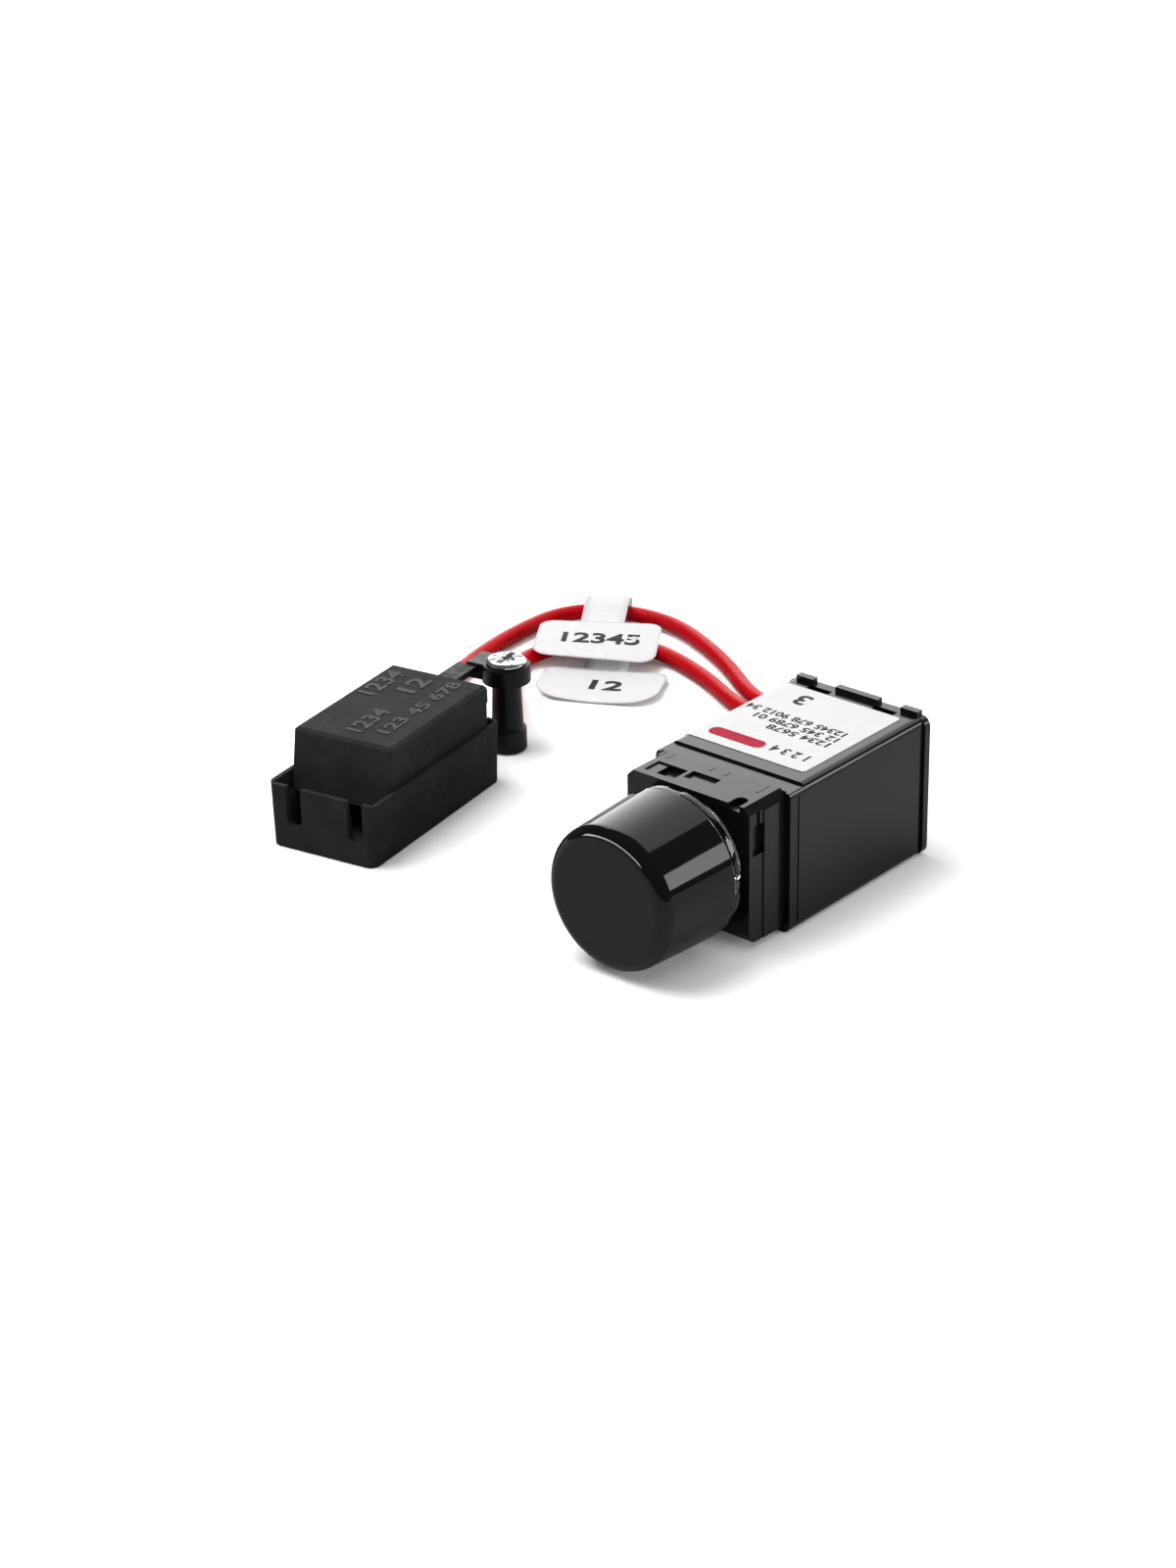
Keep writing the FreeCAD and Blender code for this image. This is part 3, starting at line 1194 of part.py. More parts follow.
def terminal_screws():
    screws = []
    for i, side in enumerate(pole_sides()):
        for j, y in enumerate(screw_stations()):
            head = post(f"ScrewHead{i}{j}", "terminal_screw_head_radius",
                        (POLE_TOP, f"{POLE_TOP} + terminal_screw_head_height"), side, y)
            shank = post(f"ScrewShank{i}{j}", "terminal_screw_radius",
                         (f"{POLE_TOP} - terminal_screw_depth", POLE_TOP), side, y)
            slot = block(f"ScrewSlot{i}{j}", (f"{side} - 2", f"{side} + 2"), (f"{y} - 0.25", f"{y} + 0.25"),
                         (f"{POLE_TOP} + terminal_screw_head_height / 2",
                          f"{POLE_TOP} + terminal_screw_head_height + 1"))
            screws.append(cut(f"Screw{i}{j}", join(f"ScrewBlank{i}{j}", head, shank), slot))
    return stand(group("TerminalScrews", *screws), "terminal_screws")


def entry_rod(name, radius, reach):
    """A cylinder from the pillar's axis out towards the lead."""
    start, end = reach
    cylinder = doc.addObject("Part::Cylinder", name)
    bind(cylinder, "Radius", radius)
    bind(cylinder, "Height", f"{end} - {start}")
    turn = Rotation(Vector(0, 0, 1), value("pillar_entry_angle") - value("shroud_yaw"))
    cylinder.Placement = Placement(Vector(), turn * Rotation(Vector(0, 1, 0), 90))
    direction = turn.multVec(Vector(1, 0, 0))
    return place(cylinder, f"pillar_side + {direction.x:.6f} * ({start})",
                 f"pillar_rear + {direction.y:.6f} * ({start})", "pillar_entry_height")


def pillar():
    shell = turned_upright("PillarPost", [
        ("0", "0"), ("pillar_collar_radius - 0.3", "0"), ("pillar_collar_radius", "0.3"),
        ("pillar_collar_radius", "pillar_collar_height - 0.4"), ("pillar_shank_radius", "pillar_collar_height"),
        ("pillar_neck_radius", f"{HEAD_BOTTOM} - 0.6"), ("pillar_head_radius", HEAD_BOTTOM),
        ("pillar_head_radius", "pillar_top - 0.2"), ("pillar_head_radius - 0.2", "pillar_top"),
        ("0", "pillar_top"),
    ], "pillar_side", "pillar_rear")
    arm = block("PillarArm", ("pillar_side - pillar_arm_length", "pillar_side"),
                ("pillar_rear - pillar_arm_width / 2", "pillar_rear + pillar_arm_width / 2"),
                (f"{HEAD_BOTTOM} + 0.2", "pillar_top"))
    spout = entry_rod("PillarSpout", "spout_radius", ("0", "spout_reach"))
    outside = join("PillarOutside", shell, arm, spout)
    bore = post("PillarBore", "sleeve_radius + running_clearance", ("sleeve_bottom", "pillar_top + 1"),
                "pillar_side", "pillar_rear")
    entry = entry_rod("PillarEntry", "conductor_radius + running_clearance", ("0", "spout_reach + 1"))
    return stand(cut("Pillar", outside, bore, entry), "pillar")


def pillar_sleeve():
    tube = post("SleeveTube", "sleeve_radius", ("sleeve_bottom", "pillar_top - 0.3"), "pillar_side", "pillar_rear")
    bore = post("SleeveThread", "sleeve_bore_radius",
                ("pillar_entry_height - conductor_radius - 0.4", "pillar_top + 1"), "pillar_side", "pillar_rear")
    entry = entry_rod("SleeveEntry", "conductor_radius + running_clearance", ("0", "sleeve_radius + 1"))
    return stand(cut("SleeveBored", tube, bore, entry), "pillar_sleeve")


PAD_BOTTOM = "(pillar_entry_height + conductor_radius + running_clearance)"


def pressure_pad():
    pad = post("Pad", "screw_shank_radius", (PAD_BOTTOM, f"{PAD_BOTTOM} + pad_thickness"),
               "pillar_side", "pillar_rear")
    return stand(group("PadPiece", pad), "pressure_pad")


def pillar_screw():
    seat = "(pillar_top + screw_seat_gap)"
    top = f"({seat} + screw_head_thickness)"
    blank = turned_upright("PillarScrewBlank", [
        ("0", f"{PAD_BOTTOM} + pad_thickness + running_clearance"),
        ("screw_shank_radius", f"{PAD_BOTTOM} + pad_thickness + running_clearance"),
        ("screw_shank_radius", seat), ("screw_head_radius", seat), ("screw_head_radius", f"{top} - 0.3"),
        ("screw_head_radius - 0.4", top), ("0", top),
    ], "pillar_side", "pillar_rear")
    half = "screw_slot_width / 2"
    long_half = "(screw_head_radius * 0.62)"
    slot_z = (f"{top} - screw_slot_depth", f"{top} + 1")
    across = block("ScrewCrossA", (f"pillar_side - {long_half}", f"pillar_side + {long_half}"),
                   (f"pillar_rear - {half}", f"pillar_rear + {half}"), slot_z)
    lengthwise = block("ScrewCrossB", (f"pillar_side - {half}", f"pillar_side + {half}"),
                       (f"pillar_rear - {long_half}", f"pillar_rear + {long_half}"), slot_z)
    return stand(cut("PillarScrew", blank, across, lengthwise), "pillar_screw")


def conductor_ends():
    """The leads' bare copper ends, one in the pillar and one in the terminal tube."""
    in_pillar = entry_rod("CopperInPillar", "conductor_radius", ("-0.8", "spout_reach"))
    in_tube = rod("CopperInTube", "conductor_radius", ("pole_rear - 6", "pole_rear + 0.7"), "-pole_side",
                  "lead_entry_height")
    return stand(group("Copper", in_pillar, in_tube), "conductor_ends")


def strap():
    """A ribbon that climbs from the tray's rear wall and bends over to the pillar's arm."""
    far = "(tray_length / 2)"
    top = "(pillar_top - strap_drop)"
    thick = "strap_thickness"
    arm = "(pillar_rear - pillar_arm_width / 2)"
    low = "strap_foot_bottom"
    profile = [
        (far, low), (f"{far} + {thick}", low), (f"{far} + {thick}", f"{top} - {thick} - 1.6"),
        (f"{far} + {thick} + 1.2", f"{top} - {thick}"), (arm, f"{top} - {thick}"), (arm, top),
        (f"{far} + 1.6", top), (far, f"{top} - 2.0"),
    ]
    ribbon_body = extruded("StrapRibbon", "YZ_Plane", profile, "strap_width")
    place(ribbon_body, x="strap_side - strap_width / 2")
    return stand(group("Strap", ribbon_body), "strap")


MAKERS = [
    housing_sleeve, rear_lid, rating_label, front_adapter, clear_ring, knob, knob_clip, shaft, bushing, bushing_nut,
    lock_washer, pot_can, track_wafer, carbon_track, pot_rotor, wiper, pot_terminals, switch_body, switch_plunger,
    switch_spring, switch_pins, circuit_board, power_transistors, heat_spreader, choke_core, choke_winding,
    film_capacitor, electrolytic_capacitor, fuse, control_chip, resistors, lead_grommets, lead_tails,
    shroud_tray, shroud_cover, terminal_strip, terminal_screws, pillar, pillar_sleeve, pressure_pad, pillar_screw,
    conductor_ends, strap,
]

parts = [make() for make in MAKERS]
parts.append(lead(ACTIVE_ROUTE, "lead_active"))
parts.append(lead(LOAD_ROUTE, "lead_load"))
parts.append(tag(ACTIVE_TAG, "tag_active"))
parts.append(tag(LOAD_TAG, "tag_load"))
doc.recompute()
doc.recompute()

failed = [thing.Name for thing in doc.Objects if {"Invalid", "Error"} & set(thing.State)]
failed += [part.Label for part in parts if part.Shape.isNull() or not part.Shape.isValid()]
if failed:
    raise RuntimeError(f"failed: {failed}")

os.makedirs("parts", exist_ok=True)
for part in parts:
    part.Shape.exportStep(f"parts/{part.Label}.step")
print(f"{len(parts)} sub-parts,", sum(len(part.Shape.Solids) for part in parts), "solids")
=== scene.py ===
# %% [markdown]
# # A rotary dimmer module, dressed for its photograph
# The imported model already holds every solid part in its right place: a boxed module with its knob,
# two red leads, two paper tags, and a small terminal shroud beside it. This script loads that model as
# a fixed frame, gives each part a finish, and models again what a solid can't show well, such as the
# leads, the folded paper and the wound wire. Everything is in metres.

import json
import math

import bmesh
import bpy
from mathutils import Matrix, Vector


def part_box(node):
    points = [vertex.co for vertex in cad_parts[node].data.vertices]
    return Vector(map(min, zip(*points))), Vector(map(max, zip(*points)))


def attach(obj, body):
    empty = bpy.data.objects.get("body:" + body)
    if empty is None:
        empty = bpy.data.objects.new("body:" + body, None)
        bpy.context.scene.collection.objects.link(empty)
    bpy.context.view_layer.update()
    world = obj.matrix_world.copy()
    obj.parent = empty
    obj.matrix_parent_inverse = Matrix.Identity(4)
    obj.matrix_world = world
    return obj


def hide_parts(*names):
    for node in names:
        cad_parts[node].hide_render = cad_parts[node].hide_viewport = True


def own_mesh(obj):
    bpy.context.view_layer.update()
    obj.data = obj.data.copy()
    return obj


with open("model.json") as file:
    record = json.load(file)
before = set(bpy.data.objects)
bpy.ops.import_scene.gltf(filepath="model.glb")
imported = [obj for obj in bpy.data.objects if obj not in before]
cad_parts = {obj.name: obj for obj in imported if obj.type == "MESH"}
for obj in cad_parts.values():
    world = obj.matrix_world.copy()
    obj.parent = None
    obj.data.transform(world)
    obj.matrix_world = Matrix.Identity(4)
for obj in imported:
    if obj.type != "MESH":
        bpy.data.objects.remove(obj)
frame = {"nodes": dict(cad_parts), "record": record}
nodes = frame["nodes"]
scene = bpy.context.scene
MM = 0.001
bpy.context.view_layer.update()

# %% [markdown]
# ## The camera
# The photograph looks down at the module from its front right. A long lens keeps the box almost
# parallel, so the turn about Z, the height of the view and a slight roll are set one after another,
# each as a rotation of its own, which is easier to read than one mixed triple of angles.

# %% Camera
AZIMUTH = math.radians(40.91)
ELEVATION = math.radians(25.5)
ROLL = math.radians(-1.0)
CAMERA_PLACE = (268.89, -342.38, 226.29)
LENS = 78.75
camera_data = bpy.data.cameras.new("photo_camera")
camera_data.lens = LENS
camera_data.sensor_width = 36
camera_data.clip_start = 0.01
camera_data.clip_end = 20
camera = bpy.data.objects.new("photo_camera", camera_data)
scene.collection.objects.link(camera)
turned_round = Matrix.Rotation(AZIMUTH, 4, "Z")
tipped_down = Matrix.Rotation(math.pi / 2 - ELEVATION, 4, "X")
rolled = Matrix.Rotation(ROLL, 4, "Z")
standpoint = Matrix.Translation(Vector(CAMERA_PLACE) * MM)
camera.matrix_world = standpoint @ turned_round @ tipped_down @ rolled
scene.camera = camera
print("camera: turned", round(math.degrees(AZIMUTH), 1), "degrees,", LENS, "mm lens")

# %% [markdown]
# ## The two leads
# Each lead is soft insulated wire that sweeps over the floor from the rear lid to the shroud or to its
# pillar. A curve with a round bevel is the natural tool: the line stays editable and the tube follows
# it. The spline is of the NURBS kind, order three. It starts at the first point and ends at the last,
# and runs smoothly near the others without touching them.

# %% Lead routes
LEAD_DIAMETER = 2.6 * MM
ACTIVE_ROUTE = [
    (-3.2, 31.45, 9.0), (-3.2, 39.4, 9.0), (-7.2, 46.3, 8.0), (-14.1, 50.3, 6.0), (-25.0, 51.1, 3.2),
    (-38.5, 53.4, 1.5), (-54.0, 64.6, 1.4), (-72.0, 71.6, 1.7), (-86.5, 65.1, 1.7), (-88.0, 50.6, 1.35),
    (-84.5, 32.6, 1.35), (-77.4, 21.0, 1.7), (-68.89, 11.13, 4.6), (-66.68, -1.17, 4.6),
]
LOAD_ROUTE = [
    (-7.6, 31.45, 9.0), (-7.6, 38.4, 9.0), (-11.2, 44.5, 8.0), (-17.8, 48.0, 6.0), (-27.0, 47.6, 3.0),
    (-38.0, 49.5, 1.5), (-52.0, 57.1, 1.4), (-66.0, 60.4, 1.7), (-77.0, 54.1, 1.7), (-80.0, 43.1, 1.35),
    (-74.0, 34.1, 1.7), (-67.7, 27.2, 6.5), (-62.48, 21.15, 6.5),
]


def wire(name, route, diameter):
    """A round wire along a smooth line near the route's points, which are in millimetres.

    The points carry the wire's radius, and the bevel multiplies it by one.
    """
    curve = bpy.data.curves.new(name, "CURVE")
    curve.dimensions = "3D"
    spline = curve.splines.new("NURBS")
    spline.points.add(len(route) - 1)
    for point, place in zip(spline.points, route):
        point.co = (*(Vector(place) * MM), 1)
        point.radius = diameter / 2
    spline.order_u = 3
    spline.use_endpoint_u = True
    spline.resolution_u = 16
    curve.bevel_depth = 1.0
    curve.bevel_resolution = 6
    curve.use_fill_caps = True
    piece = bpy.data.objects.new(name, curve)
    scene.collection.objects.link(piece)
    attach(piece, "root")
    return piece


lead_active = wire("lead_active_wire", ACTIVE_ROUTE, LEAD_DIAMETER)
lead_load = wire("lead_load_wire", LOAD_ROUTE, LEAD_DIAMETER)
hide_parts("lead_active")
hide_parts("lead_load")
print("lead routes:", len(ACTIVE_ROUTE), "and", len(LOAD_ROUTE), "points")

# %% [markdown]
# ## The leads' ends inside the box
# Behind the lid each lead bends down to the circuit board. These short ends aren't seen from outside,
# but they are made the same way, so that an opened box would still look right.

# %% Lead tails
TAIL_BEND = 23.25
BOARD_TOP = 4.4
tails = []
for name, (side, lid, height) in (("tail_active", ACTIVE_ROUTE[0]), ("tail_load", LOAD_ROUTE[0])):
    route = [
        (side, lid, height), (side, 27.4, height), (side, 23.9, height),
        (side, TAIL_BEND, 8.2), (side, TAIL_BEND, 6.0), (side, TAIL_BEND, BOARD_TOP),
    ]
    tails.append(wire(name, route, LEAD_DIAMETER))
for tail in tails:
    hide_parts("lead_tails")
print("leads and tails:", 2 + len(tails), "curves")

# %% [markdown]
# ## A helper for meshes
# Every other new piece starts as a bmesh, Blender's editable mesh in memory. The helper writes it into
# an object, gives it its finish, and makes it ride on the body that carries it.

# %% Mesh helper


def piece_from(name, bm, material, body="root", smooth=True, sharp_angle=35):
    """Turn a finished bmesh into a shown piece."""
    mesh = bpy.data.meshes.new(name)
    bm.to_mesh(mesh)
    bm.free()
    mesh.materials.append(material)
    if smooth:
        mesh.shade_smooth()
        mesh.set_sharp_from_angle(angle=math.radians(sharp_angle))
    else:
        mesh.shade_flat()
    piece = bpy.data.objects.new(name, mesh)
    scene.collection.objects.link(piece)
    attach(piece, body)
    return piece


# %% [markdown]
# ## Finishes: a common start
# A real moulded plastic is never one flat colour. Its gloss changes a little from place to place, and
# its surface is not perfectly even. Each finish below starts from the Principled shader, and noise in
# the object's own coordinates drives small changes of its colour, its roughness or a very low bump.
# Some finishes have a lower index of refraction than the real material, because the photograph shows
# weaker reflections.

# %% Material helpers
MICRON = 0.001 * MM
# The values of a noise pattern over which a number changes, and over which a colour changes.
NUMBER_SPAN = (0.3, 0.7)
COLOUR_SPAN = (0.35, 0.65)


def material_of(name, colour, roughness, **settings):
    """A Principled material with constant sockets set by their names."""
    material = bpy.data.materials.new(name)
    material.use_nodes = True
    shader = material.node_tree.nodes["Principled BSDF"]
    shader.inputs["Base Color"].default_value = (*colour, 1)
    shader.inputs["Roughness"].default_value = roughness
    for socket, number in settings.items():
        shader.inputs[socket.replace("_", " ")].default_value = number
    return material


def noise_on(material, scale, detail=3.0, stretch=(1, 1, 1)):
    """A noise pattern in object coordinates, given back as its output."""
    tree = material.node_tree
    where = tree.nodes.new("ShaderNodeTexCoord")
    mapping = tree.nodes.new("ShaderNodeMapping")
    mapping.inputs["Scale"].default_value = stretch
    pattern = tree.nodes.new("ShaderNodeTexNoise")
    pattern.inputs["Scale"].default_value = scale
    pattern.inputs["Detail"].default_value = detail
    tree.links.new(where.outputs["Object"], mapping.inputs["Vector"])
    tree.links.new(mapping.outputs["Vector"], pattern.inputs["Vector"])
    return pattern.outputs["Fac"]


def spread_over(material, socket, pattern, low, high):
    """Let a pattern move one socket between two numbers."""
    tree = material.node_tree
    ranged = tree.nodes.new("ShaderNodeMapRange")
    ranged.inputs["From Min"].default_value = NUMBER_SPAN[0]
    ranged.inputs["From Max"].default_value = NUMBER_SPAN[1]
    ranged.inputs["To Min"].default_value = low
    ranged.inputs["To Max"].default_value = high
    tree.links.new(pattern, ranged.inputs["Value"])
    tree.links.new(ranged.outputs["Result"], tree.nodes["Principled BSDF"].inputs[socket])


def tint_with(material, pattern, colour_a, colour_b):
    """Let a pattern mix two colours."""
    tree = material.node_tree
    ramp = tree.nodes.new("ShaderNodeValToRGB")
    for element, place, colour in zip(ramp.color_ramp.elements, COLOUR_SPAN, (colour_a, colour_b)):
        element.position = place
        element.color = (*colour, 1)
    tree.links.new(pattern, ramp.inputs["Fac"])
    tree.links.new(ramp.outputs["Color"], tree.nodes["Principled BSDF"].inputs["Base Color"])


def relief(material, pattern, microns):
    """Let a pattern raise the surface by a real depth."""
    tree = material.node_tree
    bump = tree.nodes.new("ShaderNodeBump")
    bump.inputs["Distance"].default_value = microns * MICRON
    bump.inputs["Strength"].default_value = 1.0
    tree.links.new(pattern, bump.inputs["Height"])
    tree.links.new(bump.outputs["Normal"], tree.nodes["Principled BSDF"].inputs["Normal"])


# %% [markdown]
# ## The black plastics
# Many blacks lie side by side here. The knob is polished like a piano key, the box is glossy with a
# faint haze, the clip-in front and the pillar are satin, and the shroud is matt with the fine grain of a
# spark-eroded mould. The figures raised on it are a little smoother, and the bushes round the leads are
# rubber. They differ in roughness and grain more than in colour, but the shroud is a little paler too.

# %% Black finishes
knob_gloss = material_of("knob_gloss", (0.0045, 0.0045, 0.005), 0.06, IOR=1.36)
spread_over(knob_gloss, "Roughness", noise_on(knob_gloss, 120), 0.04, 0.08)
relief(knob_gloss, noise_on(knob_gloss, 260, 1.0), 2)

housing_gloss = material_of("housing_gloss", (0.003, 0.003, 0.0034), 0.16, IOR=1.43)
spread_over(housing_gloss, "Roughness", noise_on(housing_gloss, 160), 0.13, 0.20)
relief(housing_gloss, noise_on(housing_gloss, 300, 2.0), 3)

adapter_satin = material_of("adapter_satin", (0.006, 0.006, 0.0066), 0.2, IOR=1.40)
spread_over(adapter_satin, "Roughness", noise_on(adapter_satin, 300), 0.15, 0.26)
relief(adapter_satin, noise_on(adapter_satin, 1600, 2.0), 3)

shroud_grain = material_of("shroud_grain", (0.035, 0.035, 0.0355), 0.5, IOR=1.07)
tint_with(shroud_grain, noise_on(shroud_grain, 260, 5.0),
          (0.031, 0.031, 0.0315), (0.039, 0.039, 0.0395))
spread_over(shroud_grain, "Roughness", noise_on(shroud_grain, 900), 0.44, 0.58)
relief(shroud_grain, noise_on(shroud_grain, 3200, 4.0), 60)

pillar_satin = material_of("pillar_satin", (0.003, 0.003, 0.0034), 0.34, IOR=1.36)
spread_over(pillar_satin, "Roughness", noise_on(pillar_satin, 700), 0.30, 0.44)
relief(pillar_satin, noise_on(pillar_satin, 2600, 3.0), 20)

shroud_raised = material_of("shroud_raised", (0.036, 0.036, 0.0365), 0.3, IOR=1.13)
spread_over(shroud_raised, "Roughness", noise_on(shroud_raised, 900), 0.26, 0.40)

rubber_matt = material_of("rubber_matt", (0.007, 0.007, 0.007), 0.55, IOR=1.45)
spread_over(rubber_matt, "Roughness", noise_on(rubber_matt, 900), 0.5, 0.7)
relief(rubber_matt, noise_on(rubber_matt, 2800, 3.0), 30)
print("black finishes: 7")

# %% [markdown]
# ## Red, white and clear
# The leads are extruded vinyl with a soft shine. The tags are coated paper with a fibre that only shows
# close up, and the label is a smoother vinyl sticker. The guide ring is clear plastic, so it needs
# transmission and a real index of refraction instead of a light grey colour. The last two are inks.

# %% Red, white and clear finishes
lead_vinyl = material_of("lead_vinyl", (0.58, 0.001, 0.006), 0.34, IOR=1.2)
tint_with(lead_vinyl, noise_on(lead_vinyl, 90, 2.0), (0.55, 0.001, 0.005), (0.61, 0.002, 0.009))
spread_over(lead_vinyl, "Roughness", noise_on(lead_vinyl, 600), 0.28, 0.42)
relief(lead_vinyl, noise_on(lead_vinyl, 900, 2.0), 10)

tag_paper = material_of("tag_paper", (0.79, 0.79, 0.80), 0.48, IOR=1.25)
tint_with(tag_paper, noise_on(tag_paper, 700, 5.0), (0.77, 0.77, 0.785), (0.81, 0.81, 0.815))
relief(tag_paper, noise_on(tag_paper, 3000, 5.0, (1, 3, 1)), 10)

label_vinyl = material_of("label_vinyl", (0.74, 0.74, 0.75), 0.36, IOR=1.3)
tint_with(label_vinyl, noise_on(label_vinyl, 500, 4.0), (0.725, 0.725, 0.735), (0.755, 0.755, 0.76))
relief(label_vinyl, noise_on(label_vinyl, 1800, 3.0), 6)

ring_clear = material_of("ring_clear", (0.98, 0.985, 0.99), 0.02, IOR=1.49, Transmission_Weight=1.0)
spread_over(ring_clear, "Roughness", noise_on(ring_clear, 200), 0.0, 0.03)

print_black = material_of("print_black", (0.008, 0.008, 0.008), 0.45, IOR=1.2)
spread_over(print_black, "Roughness", noise_on(print_black, 1500), 0.38, 0.55)
print_red = material_of("print_red", (0.46, 0.010, 0.040), 0.5, IOR=1.12)
tint_with(print_red, noise_on(print_red, 1500, 4.0), (0.44, 0.008, 0.034), (0.50, 0.014, 0.046))
print("vinyl, paper, clear and ink finishes: 6")

# %% [markdown]
# ## Metals and the insides
# Turned brass and drawn steel carry fine lines along one direction. Noise that is squeezed across that
# direction gives the lines without drawing any of them. The parts on the board get the finish of their
# kind: green solder mask, brown laminate, bare copper, dark epoxy.

# %% Metal and board finishes


def metal(name, colour, roughness, stretch=(1, 1, 1), scale=600):
    """A metal with fine lines, across which the noise is squeezed by the stretch."""
    made = material_of(name, colour, roughness, Metallic=1.0)
    lines = noise_on(made, scale, 4.0, stretch)
    spread_over(made, "Roughness", lines, roughness * 0.7, roughness * 1.4)
    relief(made, lines, 8)
    return made


def moulding(name, dark, light, roughness, grain=1200):
    """A matt moulding whose colour and gloss vary a little."""
    made = material_of(name, dark, roughness)
    tint_with(made, noise_on(made, grain * 0.4, 4.0), dark, light)
    spread_over(made, "Roughness", noise_on(made, grain), roughness * 0.85, roughness * 1.15)
    relief(made, noise_on(made, grain * 2, 3.0), 10)
    return made


steel_bright = metal("steel_bright", (0.62, 0.62, 0.63), 0.25, (1, 12, 1))
nickel = metal("nickel", (0.70, 0.67, 0.60), 0.22, (1, 10, 1))
tin_plate = metal("tin_plate", (0.66, 0.66, 0.67), 0.30)
tinned_strip = metal("tinned_strip", (0.74, 0.72, 0.68), 0.28)
aluminium = metal("aluminium", (0.77, 0.77, 0.78), 0.32, (1, 1, 9))
terminal_brass = metal("terminal_brass", (0.72, 0.50, 0.20), 0.26, (1, 10, 1))
screw_zinc = metal("screw_zinc", (0.86, 0.86, 0.88), 0.14, (1, 1, 1), 900)
copper = metal("copper", (0.78, 0.36, 0.18), 0.25, (1, 1, 6))
laminate = moulding("laminate", (0.20, 0.10, 0.04), (0.27, 0.15, 0.07), 0.55)
carbon = moulding("carbon", (0.012, 0.012, 0.012), (0.02, 0.02, 0.02), 0.6)
white_mould = moulding("white_mould", (0.72, 0.72, 0.69), (0.78, 0.78, 0.75), 0.45)
solder_mask = moulding("solder_mask", (0.012, 0.13, 0.045), (0.02, 0.18, 0.06), 0.35)
epoxy = moulding("epoxy", (0.016, 0.016, 0.017), (0.024, 0.024, 0.025), 0.5)
ferrite = moulding("ferrite", (0.05, 0.05, 0.052), (0.08, 0.08, 0.08), 0.65)
film_case = moulding("film_case", (0.26, 0.03, 0.015), (0.33, 0.045, 0.02), 0.4)
print("metal and board finishes: 15")

# %% [markdown]
# ## Dress the frame
# The record names a finish slot for each node. One table from slot to material dresses them all, and
# the loop assigns to the slots that each node already has, so no mesh is touched.

# %% Assign the finishes
FINISH_OF = {
    "black_gloss": housing_gloss, "label_white": label_vinyl, "black_satin": adapter_satin,
    "clear_plastic": ring_clear, "knob_black": knob_gloss, "spring_steel": steel_bright,
    "shaft_steel": steel_bright, "nickelled_brass": nickel, "tinned_steel": tin_plate,
    "laminate_brown": laminate, "carbon_black": carbon, "white_plastic": white_mould,
    "tinned_brass": tinned_strip, "board_green": solder_mask, "black_matte": epoxy,
    "aluminium_plate": aluminium, "ferrite_grey": ferrite, "copper_wire": copper,
    "capacitor_red": film_case, "rubber_black": rubber_matt, "lead_red": lead_vinyl,
    "shroud_black": shroud_grain, "terminal_brass": terminal_brass, "screw_bright": screw_zinc,
    "pillar_black": pillar_satin, "tag_white": tag_paper,
}
for part in frame["record"]["subparts"]:
    node = nodes[part["node"]]
    for material_slot in node.material_slots:
        material_slot.material = FINISH_OF[part["material_slot"]]
for lead in (lead_active, lead_load, *tails):
    lead.data.materials.append(lead_vinyl)
print("dressed:", len(nodes), "nodes")

# %% [markdown]
# ## The paper tags
# Each tag is one sheet: a wide flag, and a narrow neck that runs from it over its lead and back below,
# where it is stuck under the flag. The flag is a grid whose corners are pulled round, and the neck is a
# row of edges extruded along the loop's side view. A little curl keeps the flag from looking like a tile.

# %% Tag helpers
TAG_WIDTH = 20.5 * MM
NECK_WIDTH = 7.4 * MM
NECK_STEPS = 4
FLAG_STEPS = (30, 20)
PAPER = 0.1 * MM


def loop_of_paper(bm, side_view):
    """Extrude a row of edges across the neck along (distance, height) steps in millimetres."""
    first = Vector((0, -side_view[0][0], side_view[0][1])) * MM
    across = [Vector((NECK_WIDTH * (i / NECK_STEPS - 0.5), 0, 0)) for i in range(NECK_STEPS + 1)]
    row = [bm.verts.new(first + place) for place in across]
    edges = [bm.edges.new(pair) for pair in zip(row, row[1:])]
    for before, after in zip(side_view, side_view[1:]):
        step = Vector((0, before[0] - after[0], after[1] - before[1])) * MM
        made = bmesh.ops.extrude_edge_only(bm, edges=edges)["geom"]
        moved = [part for part in made if isinstance(part, bmesh.types.BMVert)]
        bmesh.ops.translate(bm, vec=step, verts=moved)
        edges = [part for part in made if isinstance(part, bmesh.types.BMEdge)
                 and abs(part.verts[0].co.y - part.verts[1].co.y) < 1e-9]


def flag_of_paper(bm, neck, depth, aside, radii, height):
    """A wide grid with round corners that starts at the neck's end and follows a height rule."""
    columns, rows = FLAG_STEPS
    grid = bmesh.ops.create_grid(bm, x_segments=columns, y_segments=rows, size=0.5)["verts"]
    bmesh.ops.scale(bm, vec=(TAG_WIDTH, depth, 1), verts=grid)
    for vert in grid:
        radius = radii[0] if vert.co.y > 0 else radii[1]
        inset_x = abs(vert.co.x) - (TAG_WIDTH / 2 - radius * MM)
        inset_y = abs(vert.co.y) - (depth / 2 - radius * MM)
        if inset_x > 0 and inset_y > 0:
            pull = max(inset_x, inset_y) / math.hypot(inset_x, inset_y)
            vert.co.x -= math.copysign(inset_x * (1 - pull), vert.co.x)
            vert.co.y -= math.copysign(inset_y * (1 - pull), vert.co.y)
        across = vert.co.x / (TAG_WIDTH / 2)
        along = 0.5 - vert.co.y / depth
        vert.co.z = height(across, along) * MM
    bmesh.ops.translate(bm, vec=(aside * MM, -neck * MM - depth / 2, 0), verts=grid)


